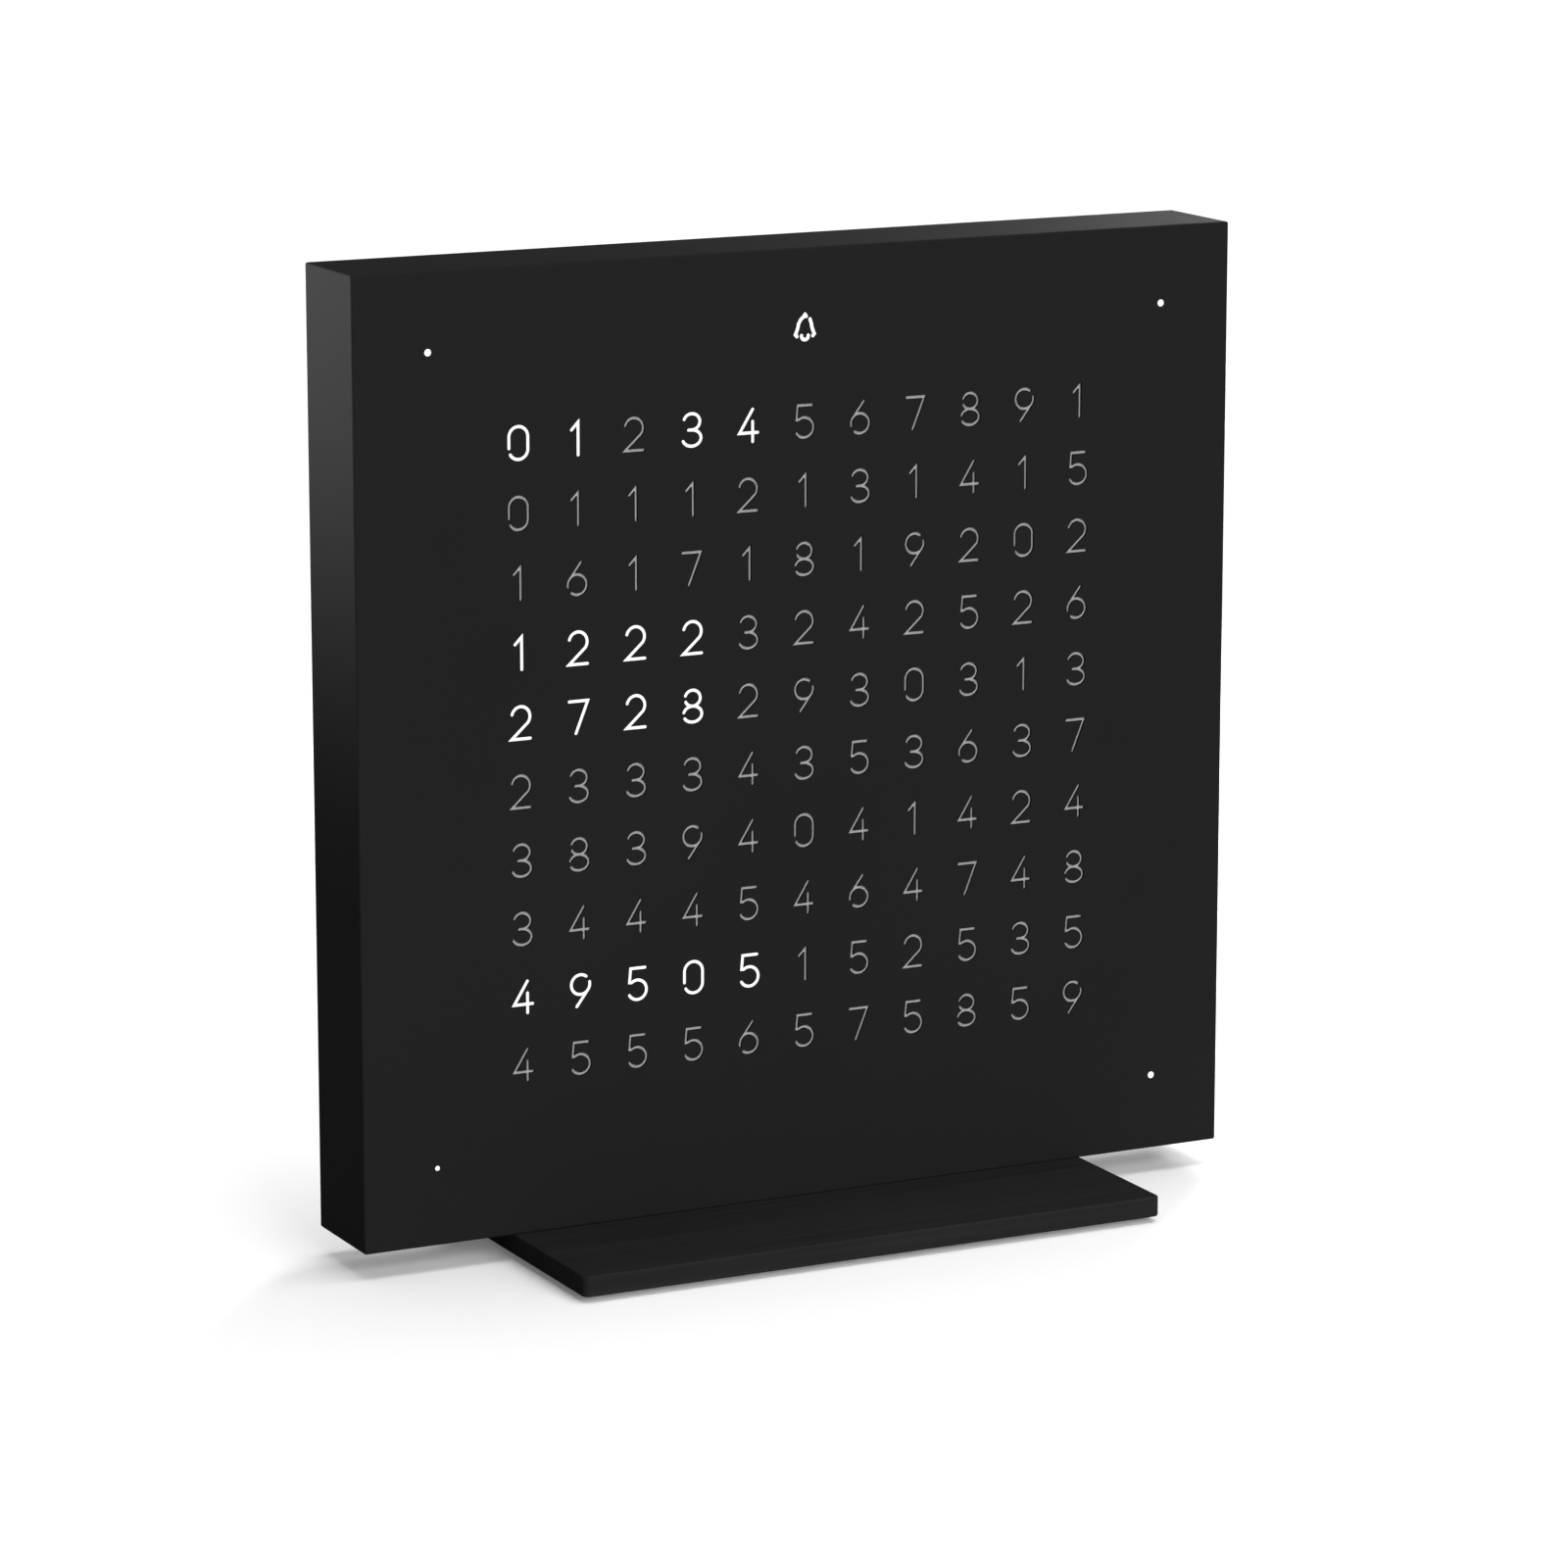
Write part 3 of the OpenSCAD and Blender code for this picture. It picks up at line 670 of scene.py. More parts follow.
FACE_INPUTS = {
    "Numerals": "Collection", "Symbol": "Object", "Columns": "Int", "Rows": "Int",
    "Column Pitch": "Float", "Row Pitch": "Float", "Symbol Height": "Float", "Dot Offset": "Float",
    "Dot Radius": "Float", "Small Dot Radius": "Float", "Face Size": "Float", "Thickness": "Float",
    **{name: "Vector" for name in RUNS},
}


def face_values(numerals, symbol, thickness):
    """What the settings give for FACE_INPUTS."""
    face, lit = bpy.context.scene.clock_face, bpy.context.scene.clock_lit
    return {
        "Numerals": numerals, "Symbol": symbol, "Columns": face.columns, "Rows": face.rows,
        "Column Pitch": face.column_pitch, "Row Pitch": face.row_pitch,
        "Symbol Height": HALF_FACE - face.bell_inset, "Dot Offset": HALF_FACE - face.dot_inset,
        "Dot Radius": face.dot_d / 2, "Small Dot Radius": face.small_dot_d / 2,
        "Face Size": 2 * (HALF_FACE - FACE_T), "Thickness": thickness,
        **{name: [float(place) for place in getattr(lit, name)] for name in RUNS},
    }


def digit_at(place):
    """The digit at a place, counted from 0, in the numbers from 0 up written one after another.

    The numbers up to 9 take one place each, and those from 10 on take two.
    """
    number = 10 + ((place - 10) / 2).floor()
    tens = (number / 10).floor()
    of_pair = tens + (number - 11 * tens) * (place % 2)
    return place + (of_pair - place) * (place > 9.5)


def mark_lit(graph, geometry, lit):
    """Stores on each point whether light shows through there."""
    settings = {"data_type": "FLOAT", "domain": "POINT"}
    inputs = {"Geometry": geometry, "Name": "lit", "Value": lit}
    return graph.node("GeometryNodeStoreNamedAttribute", settings, inputs)


def grid_of_points(graph, size_x, size_y, columns, rows):
    """A grid of points about the origin."""
    inputs = {"Size X": size_x, "Size Y": size_y, "Vertices X": columns, "Vertices Y": rows}
    return graph.node("GeometryNodeMeshGrid", inputs=inputs)


def numeral_field(graph, given):
    """The numerals on their grid of places, those in the lit runs marked as lit."""
    columns, rows = given["Columns"], given["Rows"]
    width, height = (columns - 1) * given["Column Pitch"], (rows - 1) * given["Row Pitch"]
    x, y, _ = graph.axes(graph.node("GeometryNodeInputPosition"))
    column = (x / given["Column Pitch"] + (columns - 1) / 2).round()
    row = ((rows - 1) / 2 - y / given["Row Pitch"]).round()
    lit = column * 0.0
    for name in RUNS:
        lit_row, first, last = graph.axes(given[name])
        in_row = graph.maths("COMPARE", row, lit_row, 0.5)
        lit = lit + in_row * graph.within(column, first - 0.5, last + 0.5)
    shapes = graph.node("GeometryNodeCollectionInfo", inputs={
        "Collection": given["Numerals"], "Separate Children": True, "Reset Children": True,
    })
    return graph.node("GeometryNodeInstanceOnPoints", inputs={
        "Points": mark_lit(graph, grid_of_points(graph, width, height, columns, rows), lit),
        "Instance": shapes, "Pick Instance": True, "Instance Index": digit_at(row * columns + column),
    })


def dots_and_symbol(graph, given):
    """The dots near the face's corners, the lower left one smaller, and the alarm symbol, all lit."""
    across = given["Dot Offset"] * 2
    x, y, _ = graph.axes(graph.node("GeometryNodeInputPosition"))
    smaller = (x < 0) * (y < 0)
    size = 1 + smaller * (given["Small Dot Radius"] / given["Dot Radius"] - 1)
    disc = {"Vertices": 32, "Radius": given["Dot Radius"]}
    dots = graph.node("GeometryNodeInstanceOnPoints", inputs={
        "Points": grid_of_points(graph, across, across, 2, 2),
        "Instance": graph.node("GeometryNodeMeshCircle", {"fill_type": "NGON"}, disc), "Scale": size,
    })
    symbol = graph.node("GeometryNodeObjectInfo", inputs={"Object": given["Symbol"]}, output="Geometry")
    lift = graph.node("ShaderNodeCombineXYZ", inputs={"Y": given["Symbol Height"]})
    symbol = graph.node("GeometryNodeTransform", inputs={"Geometry": symbol, "Translation": lift})
    both = graph.node("GeometryNodeJoinGeometry", inputs={0: [symbol, dots]})
    return mark_lit(graph, graph.node("GeometryNodeRealizeInstances", inputs={0: both}), 1.0)


def cut_field(graph, given):
    """Flat numerals, symbol and dots, with the attribute lit at 1 where light shows through."""
    parts = [numeral_field(graph, given), dots_and_symbol(graph, given)]
    joined = graph.node("GeometryNodeJoinGeometry", inputs={0: parts})
    return graph.node("GeometryNodeRealizeInstances", inputs={0: joined})


def thickened(graph, flat, thickness):
    """A flat mesh made solid: its underside, its sides and a top face raised by the thickness."""
    raised = graph.node("GeometryNodeExtrudeMesh", {"mode": "FACES"}, {
        "Mesh": flat, "Offset Scale": thickness, "Individual": False,
    })
    under = graph.node("GeometryNodeFlipFaces", inputs={0: flat})
    solid = graph.node("GeometryNodeJoinGeometry", inputs={0: [raised, under]})
    return graph.node("GeometryNodeMergeByDistance", inputs={"Geometry": solid, "Distance": WELD})


def face_sheet_tree(material):
    """The face sheet with every slot cut through it."""
    graph, given = new_tree("face_sheet", FACE_INPUTS)
    neighbours = graph.node("GeometryNodeInputMeshEdgeNeighbors")
    rim = graph.maths("COMPARE", neighbours, 1.0, 0.1)
    field = cut_field(graph, given)
    slots = graph.node("GeometryNodeMeshToCurve", inputs={"Mesh": field, "Selection": rim})
    border = graph.node("GeometryNodeCurvePrimitiveQuadrilateral", inputs={
        "Width": given["Face Size"], "Height": given["Face Size"],
    })
    curves = graph.node("GeometryNodeJoinGeometry", inputs={0: [border, slots]})
    sheet = graph.node("GeometryNodeFillCurve", {"mode": "TRIANGLES"}, {"Curve": curves})
    close_tree(graph, thickened(graph, sheet, given["Thickness"]), material)
    return graph


def inlay_tree(name, lit, material):
    """The inlays that are lit, or those that aren't."""
    graph, given = new_tree(name, FACE_INPUTS)
    mark = graph.node("GeometryNodeInputNamedAttribute", {"data_type": "FLOAT"}, {"Name": "lit"})
    wanted = mark > 0.5 if lit else mark < 0.5
    chosen = graph.node("GeometryNodeSeparateGeometry", {"domain": "FACE"}, {
        "Geometry": cut_field(graph, given), "Selection": wanted,
    })
    close_tree(graph, thickened(graph, chosen, given["Thickness"]), material)
    return graph


SCREW_INPUTS = {
    "Count X": "Int", "Count Y": "Int", "Spacing X": "Float", "Spacing Y": "Float", "Head Radius": "Float",
    "Shank Radius": "Float", "Length": "Float", "Key Radius": "Float", "Key Depth": "Float",
}


def screw_tree(material):
    """Countersunk screws with a hexagonal socket, heads up at height 0, on a grid of places."""
    graph, given = new_tree("socket_screws", SCREW_INPUTS)
    round_sides, key_sides = 48, 6
    head_radius, shank_radius, length = given["Head Radius"], given["Shank Radius"], given["Length"]
    head_depth = head_radius - shank_radius
    head_rim = head_radius * 0.06

    def rod(radius, depth, sides=round_sides):
        inputs = {"Vertices": sides, "Radius": radius, "Depth": depth}
        return graph.node("GeometryNodeMeshCylinder", inputs=inputs)

    def down(geometry, depth):
        shift = graph.node("ShaderNodeCombineXYZ", inputs={"Z": 0 - depth})
        return graph.node("GeometryNodeTransform", inputs={"Geometry": geometry, "Translation": shift})

    def combined(operation, inputs):
        settings = {"operation": operation, "solver": "EXACT"}
        return graph.node("GeometryNodeMeshBoolean", settings, inputs)

    cone = graph.node("GeometryNodeMeshCone", inputs={
        "Vertices": round_sides, "Radius Top": head_radius, "Radius Bottom": shank_radius,
        "Depth": head_depth - head_rim,
    })
    # The shank is a touch thinner than the cone's end and starts halfway up it, so that they cross.
    shank = rod(shank_radius * 0.98, length - head_depth / 2)
    parts = [
        down(rod(head_radius, head_rim), head_rim / 2),
        down(cone, head_depth),
        down(shank, length / 2 + head_depth / 4),
    ]
    key = rod(given["Key Radius"], given["Key Depth"] * 2, key_sides)
    screw = combined("DIFFERENCE", {0: combined("UNION", {1: parts}), 1: key})
    grid = grid_of_points(
        graph, given["Spacing X"], given["Spacing Y"], given["Count X"], given["Count Y"]
    )
    screws = graph.node("GeometryNodeInstanceOnPoints", inputs={"Points": grid, "Instance": screw})
    close_tree(graph, screws, material)
    return graph


# ---- pieces ----


# Edges that bend by more than this are corners on the shell and the stand, and keep their crease.
CORNER = math.radians(40)
# The same for the small pieces.
SMALL_CORNER = math.radians(30)


def put(piece, place):
    """Moves a piece's mesh to its place and leaves its object at the origin."""
    piece.data.transform(place)
    piece.data.update()
    return piece


def declare(piece, slot, *nodes):
    """Says what a piece rides on and which solids it stands for; the slot is not used."""
    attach(piece, BODY)
    if nodes:
        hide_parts(*nodes)


def declare_small(piece, slot, *nodes):
    piece.data.shade_smooth()
    piece.data.set_sharp_from_angle(angle=SMALL_CORNER)
    declare(piece, slot, *nodes)


def upright(y):
    """Turns a mesh drawn flat in X and Y to stand in X and Z, facing the front, at that depth."""
    return Matrix.Translation((0, y, CENTRE_Z)) @ Matrix.Rotation(math.radians(90), 4, "X")


def drawn_shapes():
    """The ten numerals in a collection, and the alarm symbol, as flat meshes."""
    face = bpy.context.scene.clock_face
    numerals = bpy.data.collections.get("numerals")
    if numerals is None:
        numerals = bpy.data.collections.new("numerals")
        for digit in range(10):
            mesh = numeral_mesh(digit, face)
            numerals.objects.link(bpy.data.objects.new(mesh.name, mesh))
        mesh = slotted("alarm_symbol", bell_strokes(face.bell_h), face.bell_stroke)
        bpy.data.objects.new(mesh.name, mesh)
    return numerals, bpy.data.objects["alarm_symbol"]


def shell_walls(edge_radius):
    """The shell's four sides, with rounded edges, open where the face sheet goes and at the back."""
    bm = bmesh.new()
    size = SHELL_HIGH - SHELL_LOW
    middle = (SHELL_HIGH + SHELL_LOW) / 2
    bmesh.ops.create_cube(bm, size=1, matrix=Matrix.Translation(middle) @ Matrix.Diagonal((*size, 1)))
    bmesh.ops.bevel(bm, geom=bm.edges[:], offset=edge_radius, segments=4, profile=0.5, affect="EDGES")
    ends = [f for f in bm.faces if abs(f.normal.y) > 0.999]
    bmesh.ops.delete(bm, geom=ends, context="FACES")

    def ring(half, y):
        corners = [(-half, -half), (half, -half), (half, half), (-half, half)]
        return [bm.verts.new((cx, y, CENTRE_Z + cz)) for cx, cz in corners]

    def band(first, second):
        for i in range(4):
            j = (i + 1) % 4
            bm.faces.new((first[i], first[j], second[j], second[i]))

    inside = HALF_FACE - FACE_T
    flat = HALF_FACE - edge_radius
    front_out, front_in = ring(flat, SHELL_LOW.y), ring(inside, SHELL_LOW.y)
    back_out, back_in = ring(flat, SHELL_HIGH.y), ring(inside, SHELL_HIGH.y)
    band(front_out, front_in)
    band(back_out, back_in)
    band(back_in, ring(inside, DIFFUSER_Y))
    return mesh_from("shell_walls", bm)


def off_centre(point):
    """How far a point is from the face's middle, across or up, whichever is more."""
    return max(abs(point.x), abs(point.z - CENTRE_Z))


def join_walls(sheet, walls):
    """Takes off the face sheet's own sides and joins the shell's walls to it instead."""
    bm = bmesh.new()
    bm.from_mesh(sheet)
    edge = HALF_FACE - FACE_T - NEAR
    rim = [f for f in bm.faces if off_centre(f.calc_center_median()) > edge]
    bmesh.ops.delete(bm, geom=rim, context="FACES")
    bm.from_mesh(walls)
    bmesh.ops.remove_doubles(bm, verts=bm.verts, dist=WELD)
    bmesh.ops.recalc_face_normals(bm, faces=bm.faces)
    for part in bm.faces:
        part.material_index = 0
    bm.to_mesh(sheet)
    bm.free()


def softened(name, node, radius, chosen):
    """A copy of a solid with the chosen edges rounded. chosen takes an edge and says whether."""
    bm = bmesh.new()
    bm.from_mesh(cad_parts[node].data)
    bmesh.ops.remove_doubles(bm, verts=bm.verts, dist=WELD)
    bmesh.ops.dissolve_limit(bm, angle_limit=math.radians(0.5), verts=bm.verts, edges=bm.edges)
    corners = [e for e in bm.edges if len(e.link_faces) == 2 and e.calc_face_angle() > CORNER]
    bmesh.ops.bevel(
        bm, geom=[e for e in corners if chosen(e)], offset=radius, segments=3, profile=0.5,
        affect="EDGES", clamp_overlap=True,
    )
    bmesh.ops.triangulate(bm, faces=[f for f in bm.faces if len(f.verts) > 4])
    return linked(name, mesh_from(name, bm))


def on_plate_rim(edge):
    """Whether an edge of the stand plate lies level, along its outer rim, at the top or underneath."""
    # The rim takes in the plate's rounded corners, which reach this far in.
    rim_width = 1.1 * MM
    start, end = (vert.co for vert in edge.verts)
    middle = (start + end) / 2
    level = abs(start.z - end.z) < NEAR
    near_side = min(STAND_HIGH.x - abs(middle.x), STAND_HIGH.y - abs(middle.y)) < rim_width
    at_face = min(abs(middle.z - STAND_LOW.z), abs(middle.z - STAND_HIGH.z)) < NEAR
    return level and near_side and at_face


def shade_flat_faces(piece):
    """Shades a piece smooth over its rounded edges and keeps its large faces flat beside them."""
    piece.data.set_sharp_from_angle(angle=CORNER)
    piece.data.shade_smooth()
    modifier = piece.modifiers.new("weights", "WEIGHTED_NORMAL")
    modifier.weight = 100
    modifier.keep_sharp = True
    evaluated = piece.evaluated_get(bpy.context.evaluated_depsgraph_get())
    mesh = bpy.data.meshes.new_from_object(evaluated)
    piece.modifiers.remove(modifier)
    piece.data = mesh
    mesh.name = piece.name


class CLOCK_OT_face_shell(bpy.types.Operator):
    """Make the steel shell with the numerals, the symbol and the dots cut through its face"""

    bl_idname = "clock.face_shell"
    bl_label = "Face Shell"

    def execute(self, context):
        scene = context.scene
        face = scene.clock_face
        coat = face_coat_painted_glow(scene.clock_finish.powder, face, [getattr(scene.clock_lit, name) for name in RUNS])
        numerals, symbol = drawn_shapes()
        shell = grown("face_shell", face_sheet_tree(coat), face_values(numerals, symbol, FACE_T))
        put(shell, upright(DIFFUSER_Y))
        join_walls(shell.data, shell_walls(face.edge_radius))
        shell.data.materials.clear()
        shell.data.materials.append(coat)
        shade_flat_faces(shell)
        declare(shell, "black_steel", "front_shell")
        return {"FINISHED"}


class CLOCK_OT_inlays(bpy.types.Operator):
    """Fill the slots with inlays, lit in the chosen runs and unlit elsewhere"""

    bl_idname = "clock.inlays"
    bl_label = "Inlays"

    def execute(self, context):
        scene = context.scene
        numerals, symbol = drawn_shapes()
        values = face_values(numerals, symbol, FACE_T - scene.clock_face.inlay_sunk)
        for name, lit, material, slot in (
            ("lit_inlays", True, lit_opal(scene.clock_finish.glow), "lit_inlay"),
            ("unlit_inlays", False, opal("unlit_opal", scene.clock_finish.unlit), "unlit_inlay"),
        ):
            piece = grown(name, inlay_tree(name, lit, material), values)
            declare_small(put(piece, upright(DIFFUSER_Y)), slot)
        return {"FINISHED"}


class CLOCK_OT_stand(bpy.types.Operator):
    """Round the edges of the stand plate and brush it"""

    bl_idname = "clock.stand"
    bl_label = "Stand Plate"

    def execute(self, context):
        settings = context.scene.clock_stand
        stand = softened("stand", "stand_plate", settings.edge_radius, on_plate_rim)
        # Painted light: a lighter copy of the shell's coat, for the brighter light the stand shows.
        colour = [c * settings.painted_lightness for c in context.scene.clock_finish.powder]
        coat, _ = powder_coat("stand_powder_coat", colour, streak=settings.streak)
        stand.data.materials.append(coat)
        shade_flat_faces(stand)
        declare(stand, "black_steel", "stand_plate")
        return {"FINISHED"}


def make_screws(name, node, graph, rows, head, shank, length, place):
    """Screws in two columns for a node, with those radii of head and shank, moved to that place."""
    low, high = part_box(node)
    size = high - low
    key_radius, key_depth = head * 0.42, head * 0.45
    screws = grown(name, graph, {
        "Count X": 2, "Count Y": rows,
        "Spacing X": size.x - 2 * head, "Spacing Y": (rows - 1) * (size.z - 2 * head),
        "Head Radius": head, "Shank Radius": shank, "Length": length,
        "Key Radius": key_radius, "Key Depth": key_depth,
    })
    declare_small(put(screws, place), "black_screw", node)


class CLOCK_OT_screws(bpy.types.Operator):
    """Make the countersunk screws of the rear cover and of the stand, with hexagonal sockets"""

    bl_idname = "clock.screws"
    bl_label = "Screws"

    def execute(self, context):
        graph = screw_tree(worked_metal("black_oxide", (0.045, 0.045, 0.047), roughness=0.38))
        low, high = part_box("cover_screws")
        at_back = Matrix.Translation((0, high.y, CENTRE_Z)) @ Matrix.Rotation(math.radians(-90), 4, "X")
        head = 2.35 * MM
        make_screws(
            "cover_socket_screws", "cover_screws", graph, rows=2, head=head, shank=head * 0.532,
            length=high.y - low.y, place=at_back,
        )
        low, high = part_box("stand_screws")
        underneath = Matrix.Translation((0, 0, low.z)) @ Matrix.Rotation(math.radians(180), 4, "X")
        head = (high.y - low.y) / 2
        make_screws(
            "stand_socket_screws", "stand_screws", graph, rows=1, head=head, shank=head * 0.5,
            length=high.z - low.z, place=underneath,
        )
        return {"FINISHED"}


class CLOCK_OT_rear_marks(bpy.types.Operator):
    """Print a plain mark on the rear cover over each button"""

    bl_idname = "clock.rear_marks"
    bl_label = "Button Marks"

    def strokes(self):
        """Each button's mark in a box from about -1 to 1: two dials with a hand, a bell and a sun."""
        dial = [arc(0, 0, 1, 1, 90 * i + 15, 90 * i + 75, 6) for i in range(4)]
        ray_start, ray_end, ray_count = 0.7, 1.1, 8
        turns = [math.tau * i / ray_count for i in range(ray_count)]
        rays = [[(r * math.cos(t), r * math.sin(t)) for r in (ray_start, ray_end)] for t in turns]
        return {
            "hour_button": dial + [[(0, 0), (0.34, 0.2)]],
            "minute_button": dial + [[(0, 0), (-0.34, 0.52)]],
            "alarm_button": bell_strokes(2),
            "dimmer_button": [[(-0.12, 0), (0.12, 0)]] + rays,
        }

    def execute(self, context):
        settings = context.scene.clock_marks
        half = settings.size / 2
        face_back = Matrix.Rotation(math.radians(-90), 4, "X") @ Matrix.Scale(-1, 4, (0, 1, 0))
        bm = bmesh.new()
        for node, strokes in self.strokes().items():
            low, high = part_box(node)
            scaled = [[(x * half, z * half) for x, z in stroke] for stroke in strokes]
            flat = slotted(node + "_mark", scaled, settings.stroke)
            middle = Vector(((low.x + high.x) / 2, COVER_BACK, high.z + settings.gap))
            flat.transform(Matrix.Translation(middle) @ face_back)
            bm.from_mesh(flat)
        bmesh.ops.recalc_face_normals(bm, faces=bm.faces)
        raised = bmesh.ops.extrude_face_region(bm, geom=bm.faces[:])["geom"]
        points = [part for part in raised if isinstance(part, bmesh.types.BMVert)]
        bmesh.ops.translate(bm, verts=points, vec=(0, settings.proud, 0))
        bmesh.ops.recalc_face_normals(bm, faces=bm.faces)
        marks = linked("button_marks", mesh_from("button_marks", bm))
        marks.data.materials.append(opal("mark_print", (0.4, 0.4, 0.39), roughness=0.6))
        declare_small(marks, "unlit_inlay")
        return {"FINISHED"}


class CLOCK_OT_cad_finishes(bpy.types.Operator):
    """Give every remaining piece its finish"""

    bl_idname = "clock.cad_finishes"
    bl_label = "Other Finishes"

    def execute(self, context):
        cover = context.scene.clock_finish.cover
        along_x, along_y = (0.05, 1, 1), (1, 0.1, 1)
        zinc = worked_metal("zinc_plate", (0.62, 0.61, 0.58), roughness=0.32)
        bar = worked_metal("drawn_bar", (0.5, 0.49, 0.47), roughness=0.36, stretch=along_x)
        gilt = worked_metal("gilt_spring", (0.83, 0.64, 0.3), roughness=0.22)
        brass = worked_metal("turned_brass", (0.74, 0.55, 0.25), roughness=0.28, stretch=along_y)
        can = worked_metal("drawn_can", (0.75, 0.76, 0.77), roughness=0.25, stretch=along_y)
        resin = moulded_plastic("chip_resin", (0.018, 0.018, 0.02), texture=0.12, depth=0.006, roughness=0.6)
        cap = moulded_plastic("button_cap", (0.03, 0.03, 0.031), texture=0.25, depth=0.008, roughness=0.4)
        plunger = moulded_plastic("switch_plunger", (0.72, 0.66, 0.55), texture=0.3, depth=0.004)
        housing = moulded_plastic("switch_housing", (0.015, 0.015, 0.016), texture=0.2, depth=0.006)
        finishes = {
            zinc: ["weld_studs", "board_screws", "power_inlet", "clock_crystal", "backup_cell"],
            bar: ["mounting_bar"],
            gilt: ["cell_clip", "touch_contact"],
            brass: ["pillars"],
            can: ["smoothing_capacitor"],
            resin: ["light_sensor", "led_drivers", "microcontroller", "voltage_regulator"],
            cap: BUTTONS,
            plunger: [name.replace("button", "plunger") for name in BUTTONS],
            housing: ["switch_housings", "alarm_sounder", "inlet_tongue"],
            moulded_plastic("cover_plastic", cover, texture=0.45, depth=0.03): ["rear_cover"],
            board_laminate((0.012, 0.075, 0.03)): ["display_board"],
            opal("diode_body", (0.78, 0.72, 0.45)): ["leds"],
            opal("opal_sheet", (0.8, 0.8, 0.78)): ["diffuser_sheet"],
            opal("white_grid", (0.74, 0.74, 0.72), roughness=0.55): ["light_grid"],
            opal("fired_ceramic", (0.42, 0.28, 0.16), roughness=0.3): ["chip_passives"],
            rubber("pad_rubber", (0.03, 0.03, 0.03)): ["foot_pads"],
        }
        for material, names in finishes.items():
            for name in names:
                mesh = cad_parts[name].data
                mesh.materials.clear()
                mesh.materials.append(material)
        return {"FINISHED"}


# ---- stage ----


ORIGIN = (0, 0, 0)
# Half the floor's width, and the size of the faint patches in its colour.
FLOOR_REACH = 12.0
FLOOR_PATCH = 2 / 3
# Light that the floor adds for the eye alone, so that the clock's shadow stays pale.
SHADOW_LIFT = 0.12
# Height over the horizon, as the sine of the angle, at which the white backdrop has faded out.
BACKDROP_TOP = 0.14
SUN_WIDTH = math.radians(50)
# Where the lamps hang, and where the left one is aimed: over the top of the shell's left side.
KEY_PLACE = (0.2, -0.95, 0.27)
TOP_PLACE = (0.2, 0, 1)
RIGHT_PLACE = (0.3, 0.3, 0.195)
LEFT_PLACE = (-0.3, 0.16, 0.08)
LEFT_TARGET = (SHELL_LOW.x, 0, 0.2)


def seen_by_eye(graph):
    """1 for rays from the camera, straight or by way of metal and glass, and 0 for all others."""
    path = graph.tree.nodes.new("ShaderNodeLightPath")
    rays = ("Is Camera Ray", "Is Glossy Ray", "Is Transmission Ray")
    camera, glossy, through = (Wire(graph, path.outputs[name]) for name in rays)
    return camera.biggest(glossy).biggest(through)


def floor_finish(colour):
    """White to the camera, with the clock's shadow kept; of that colour where it throws light back."""
    material, graph = finish("floor_paint", Specular_IOR_Level=0.0, Roughness=1.0)
    seen = seen_by_eye(graph)
    patches = graph.grain(FLOOR_PATCH)
    dress(graph, {
        "Base Color": graph.colour_mix(seen, graph.tint(patches, colour, 0.995), WHITE),
        "Emission Color": graph.colour_mix(seen, BLACK, rgba([SHADOW_LIFT] * 3)),
        "Emission Strength": 1.0,
    })
    return material


def lay_floor(colour):
    """A flat floor, which is no piece of the clock."""
    bm = bmesh.new()
    bmesh.ops.create_grid(bm, x_segments=1, y_segments=1, size=FLOOR_REACH)
    floor = linked("floor", mesh_from("floor", bm))
    floor.data.materials.append(floor_finish(colour))


def light_world(scene, sky):
    """Light of that strength from all round, and a white backdrop low down for the eye alone."""
    world = bpy.data.worlds.new("studio")
    world.use_nodes = True
    scene.world = world
    graph = Graph(world.node_tree)
    seen = seen_by_eye(graph)
    backdrop = graph.tree.nodes["Background"]
    # In a world's tree the place is the direction of the ray, of length 1.
    height = graph.axes(graph.place())[2]
    faded = (height / BACKDROP_TOP).biggest(0.0).smallest(1.0)
    graph.feed(backdrop.inputs["Color"], WHITE)
    graph.feed(backdrop.inputs["Strength"], sky + seen * (1 - sky) * (1 - faded))


def aim(thing, place, target):
    """Puts a lamp or camera there, and turns it to a target."""
    thing.location = place
    thing.rotation_mode = "QUATERNION"
    thing.rotation_quaternion = (Vector(target) - Vector(place)).to_track_quat("-Z", "Y")


def hang(name, kind, place, target, **settings):
    """A lamp of that kind at a place, turned to a target."""
    light = bpy.data.lights.new(name, kind)
    for setting, value in settings.items():
        setattr(light, setting, value)
    lamp = linked(name, light)
    aim(lamp, place, target)
    return lamp


def hang_lamps(stage):
    """Two soft suns, and two lamps near the clock that the camera doesn't see."""
    hang("soft_sun", "SUN", KEY_PLACE, ORIGIN, energy=stage.key, angle=SUN_WIDTH)
    hang("high_sun", "SUN", TOP_PLACE, ORIGIN, energy=stage.top, angle=SUN_WIDTH)
    right = hang(
        "right_rim_lamp", "AREA", RIGHT_PLACE, (0, 0, CENTRE_Z),
        energy=stage.right_rim, size=0.12,
    )
    left = hang(
        "left_rim_lamp", "SPOT", LEFT_PLACE, LEFT_TARGET,
        energy=stage.left_rim, spot_size=math.radians(50), spot_blend=1.0, shadow_soft_size=0.03,
    )
    for lamp in (right, left):
        lamp.visible_camera = False


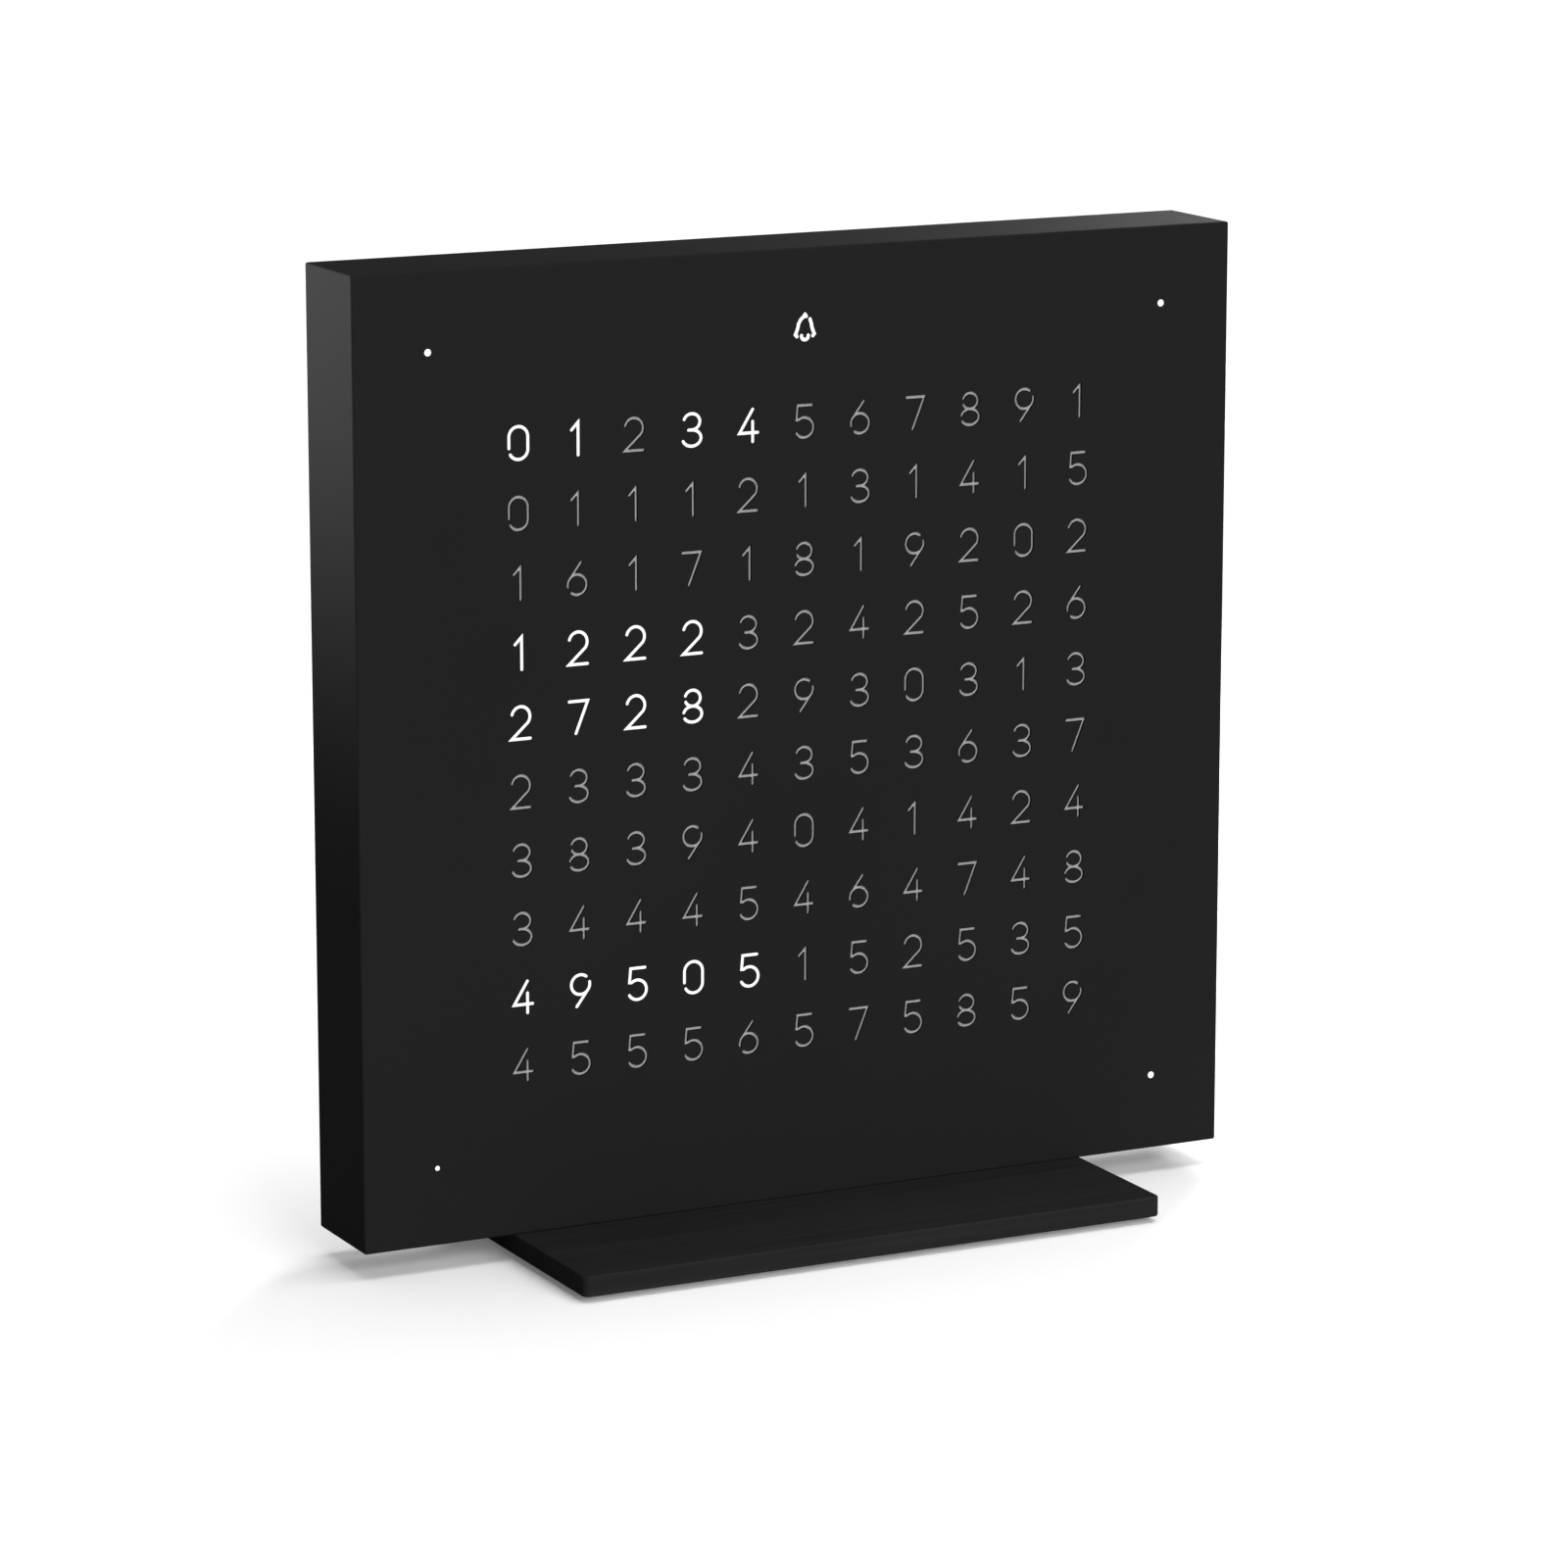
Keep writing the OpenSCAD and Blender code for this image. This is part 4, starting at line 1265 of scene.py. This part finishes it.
def place_camera(scene, stage):
    """The camera at its place, turned by its azimuth and tipped down by its elevation."""
    camera = bpy.data.cameras.new("photo_camera")
    camera.sensor_width = 36.0
    camera.lens = stage.lens
    camera.clip_start, camera.clip_end = 0.05, 50.0
    scene.camera = linked("photo_camera", camera)
    place = Vector((stage.camera_x, stage.camera_y, stage.camera_z))
    level = math.cos(stage.elevation)
    ahead = (-math.sin(stage.azimuth) * level, math.cos(stage.azimuth) * level, -math.sin(stage.elevation))
    aim(scene.camera, place, place + Vector(ahead))


class CLOCK_OT_stage(bpy.types.Operator):
    """Set up the floor, the lights and the camera"""

    bl_idname = "clock.stage"
    bl_label = "Stage"

    def execute(self, context):
        scene = context.scene
        stage = scene.clock_stage
        lay_floor(stage.floor)
        light_world(scene, stage.sky)
        hang_lamps(stage)
        place_camera(scene, stage)
        scene.view_settings.view_transform = "Standard"
        return {"FINISHED"}


class CLOCK_PT_sidebar(bpy.types.Panel):
    """Lists the steps and the settings in the 3D view's sidebar"""

    bl_idname = "CLOCK_PT_sidebar"
    bl_label = "Numeral Clock"
    bl_space_type = "VIEW_3D"
    bl_region_type = "UI"
    bl_category = "Clock"

    def draw(self, context):
        for operator in STEPS:
            self.layout.operator(operator.bl_idname)
        for settings in SETTINGS:
            group = getattr(context.scene, settings)
            box = self.layout.box()
            for name in group.bl_rna.properties.keys():
                if name not in ("rna_type", "name"):
                    box.prop(group, name)


STEPS = [
    CLOCK_OT_stage, CLOCK_OT_face_shell, CLOCK_OT_inlays, CLOCK_OT_stand, CLOCK_OT_screws,
    CLOCK_OT_rear_marks, CLOCK_OT_cad_finishes,
]
SETTINGS = {
    "clock_face": FaceSettings,
    "clock_lit": LitSettings,
    "clock_stand": StandSettings,
    "clock_marks": MarkSettings,
    "clock_finish": FinishSettings,
    "clock_stage": StageSettings,
}


def register():
    """Adds the settings to the scene, and the steps and the panel."""
    for cls in [*SETTINGS.values(), *STEPS, CLOCK_PT_sidebar]:
        bpy.utils.register_class(cls)
    for name, cls in SETTINGS.items():
        setattr(bpy.types.Scene, name, PointerProperty(type=cls))


def unregister():
    """Takes away what register added."""
    for name in SETTINGS:
        delattr(bpy.types.Scene, name)
    for cls in reversed([*SETTINGS.values(), *STEPS, CLOCK_PT_sidebar]):
        bpy.utils.unregister_class(cls)


def main():
    """Runs every step in order."""
    register()
    for operator in STEPS:
        space, call = operator.bl_idname.split(".")
        getattr(getattr(bpy.ops, space), call)()


if __name__ == "__main__":
    main()
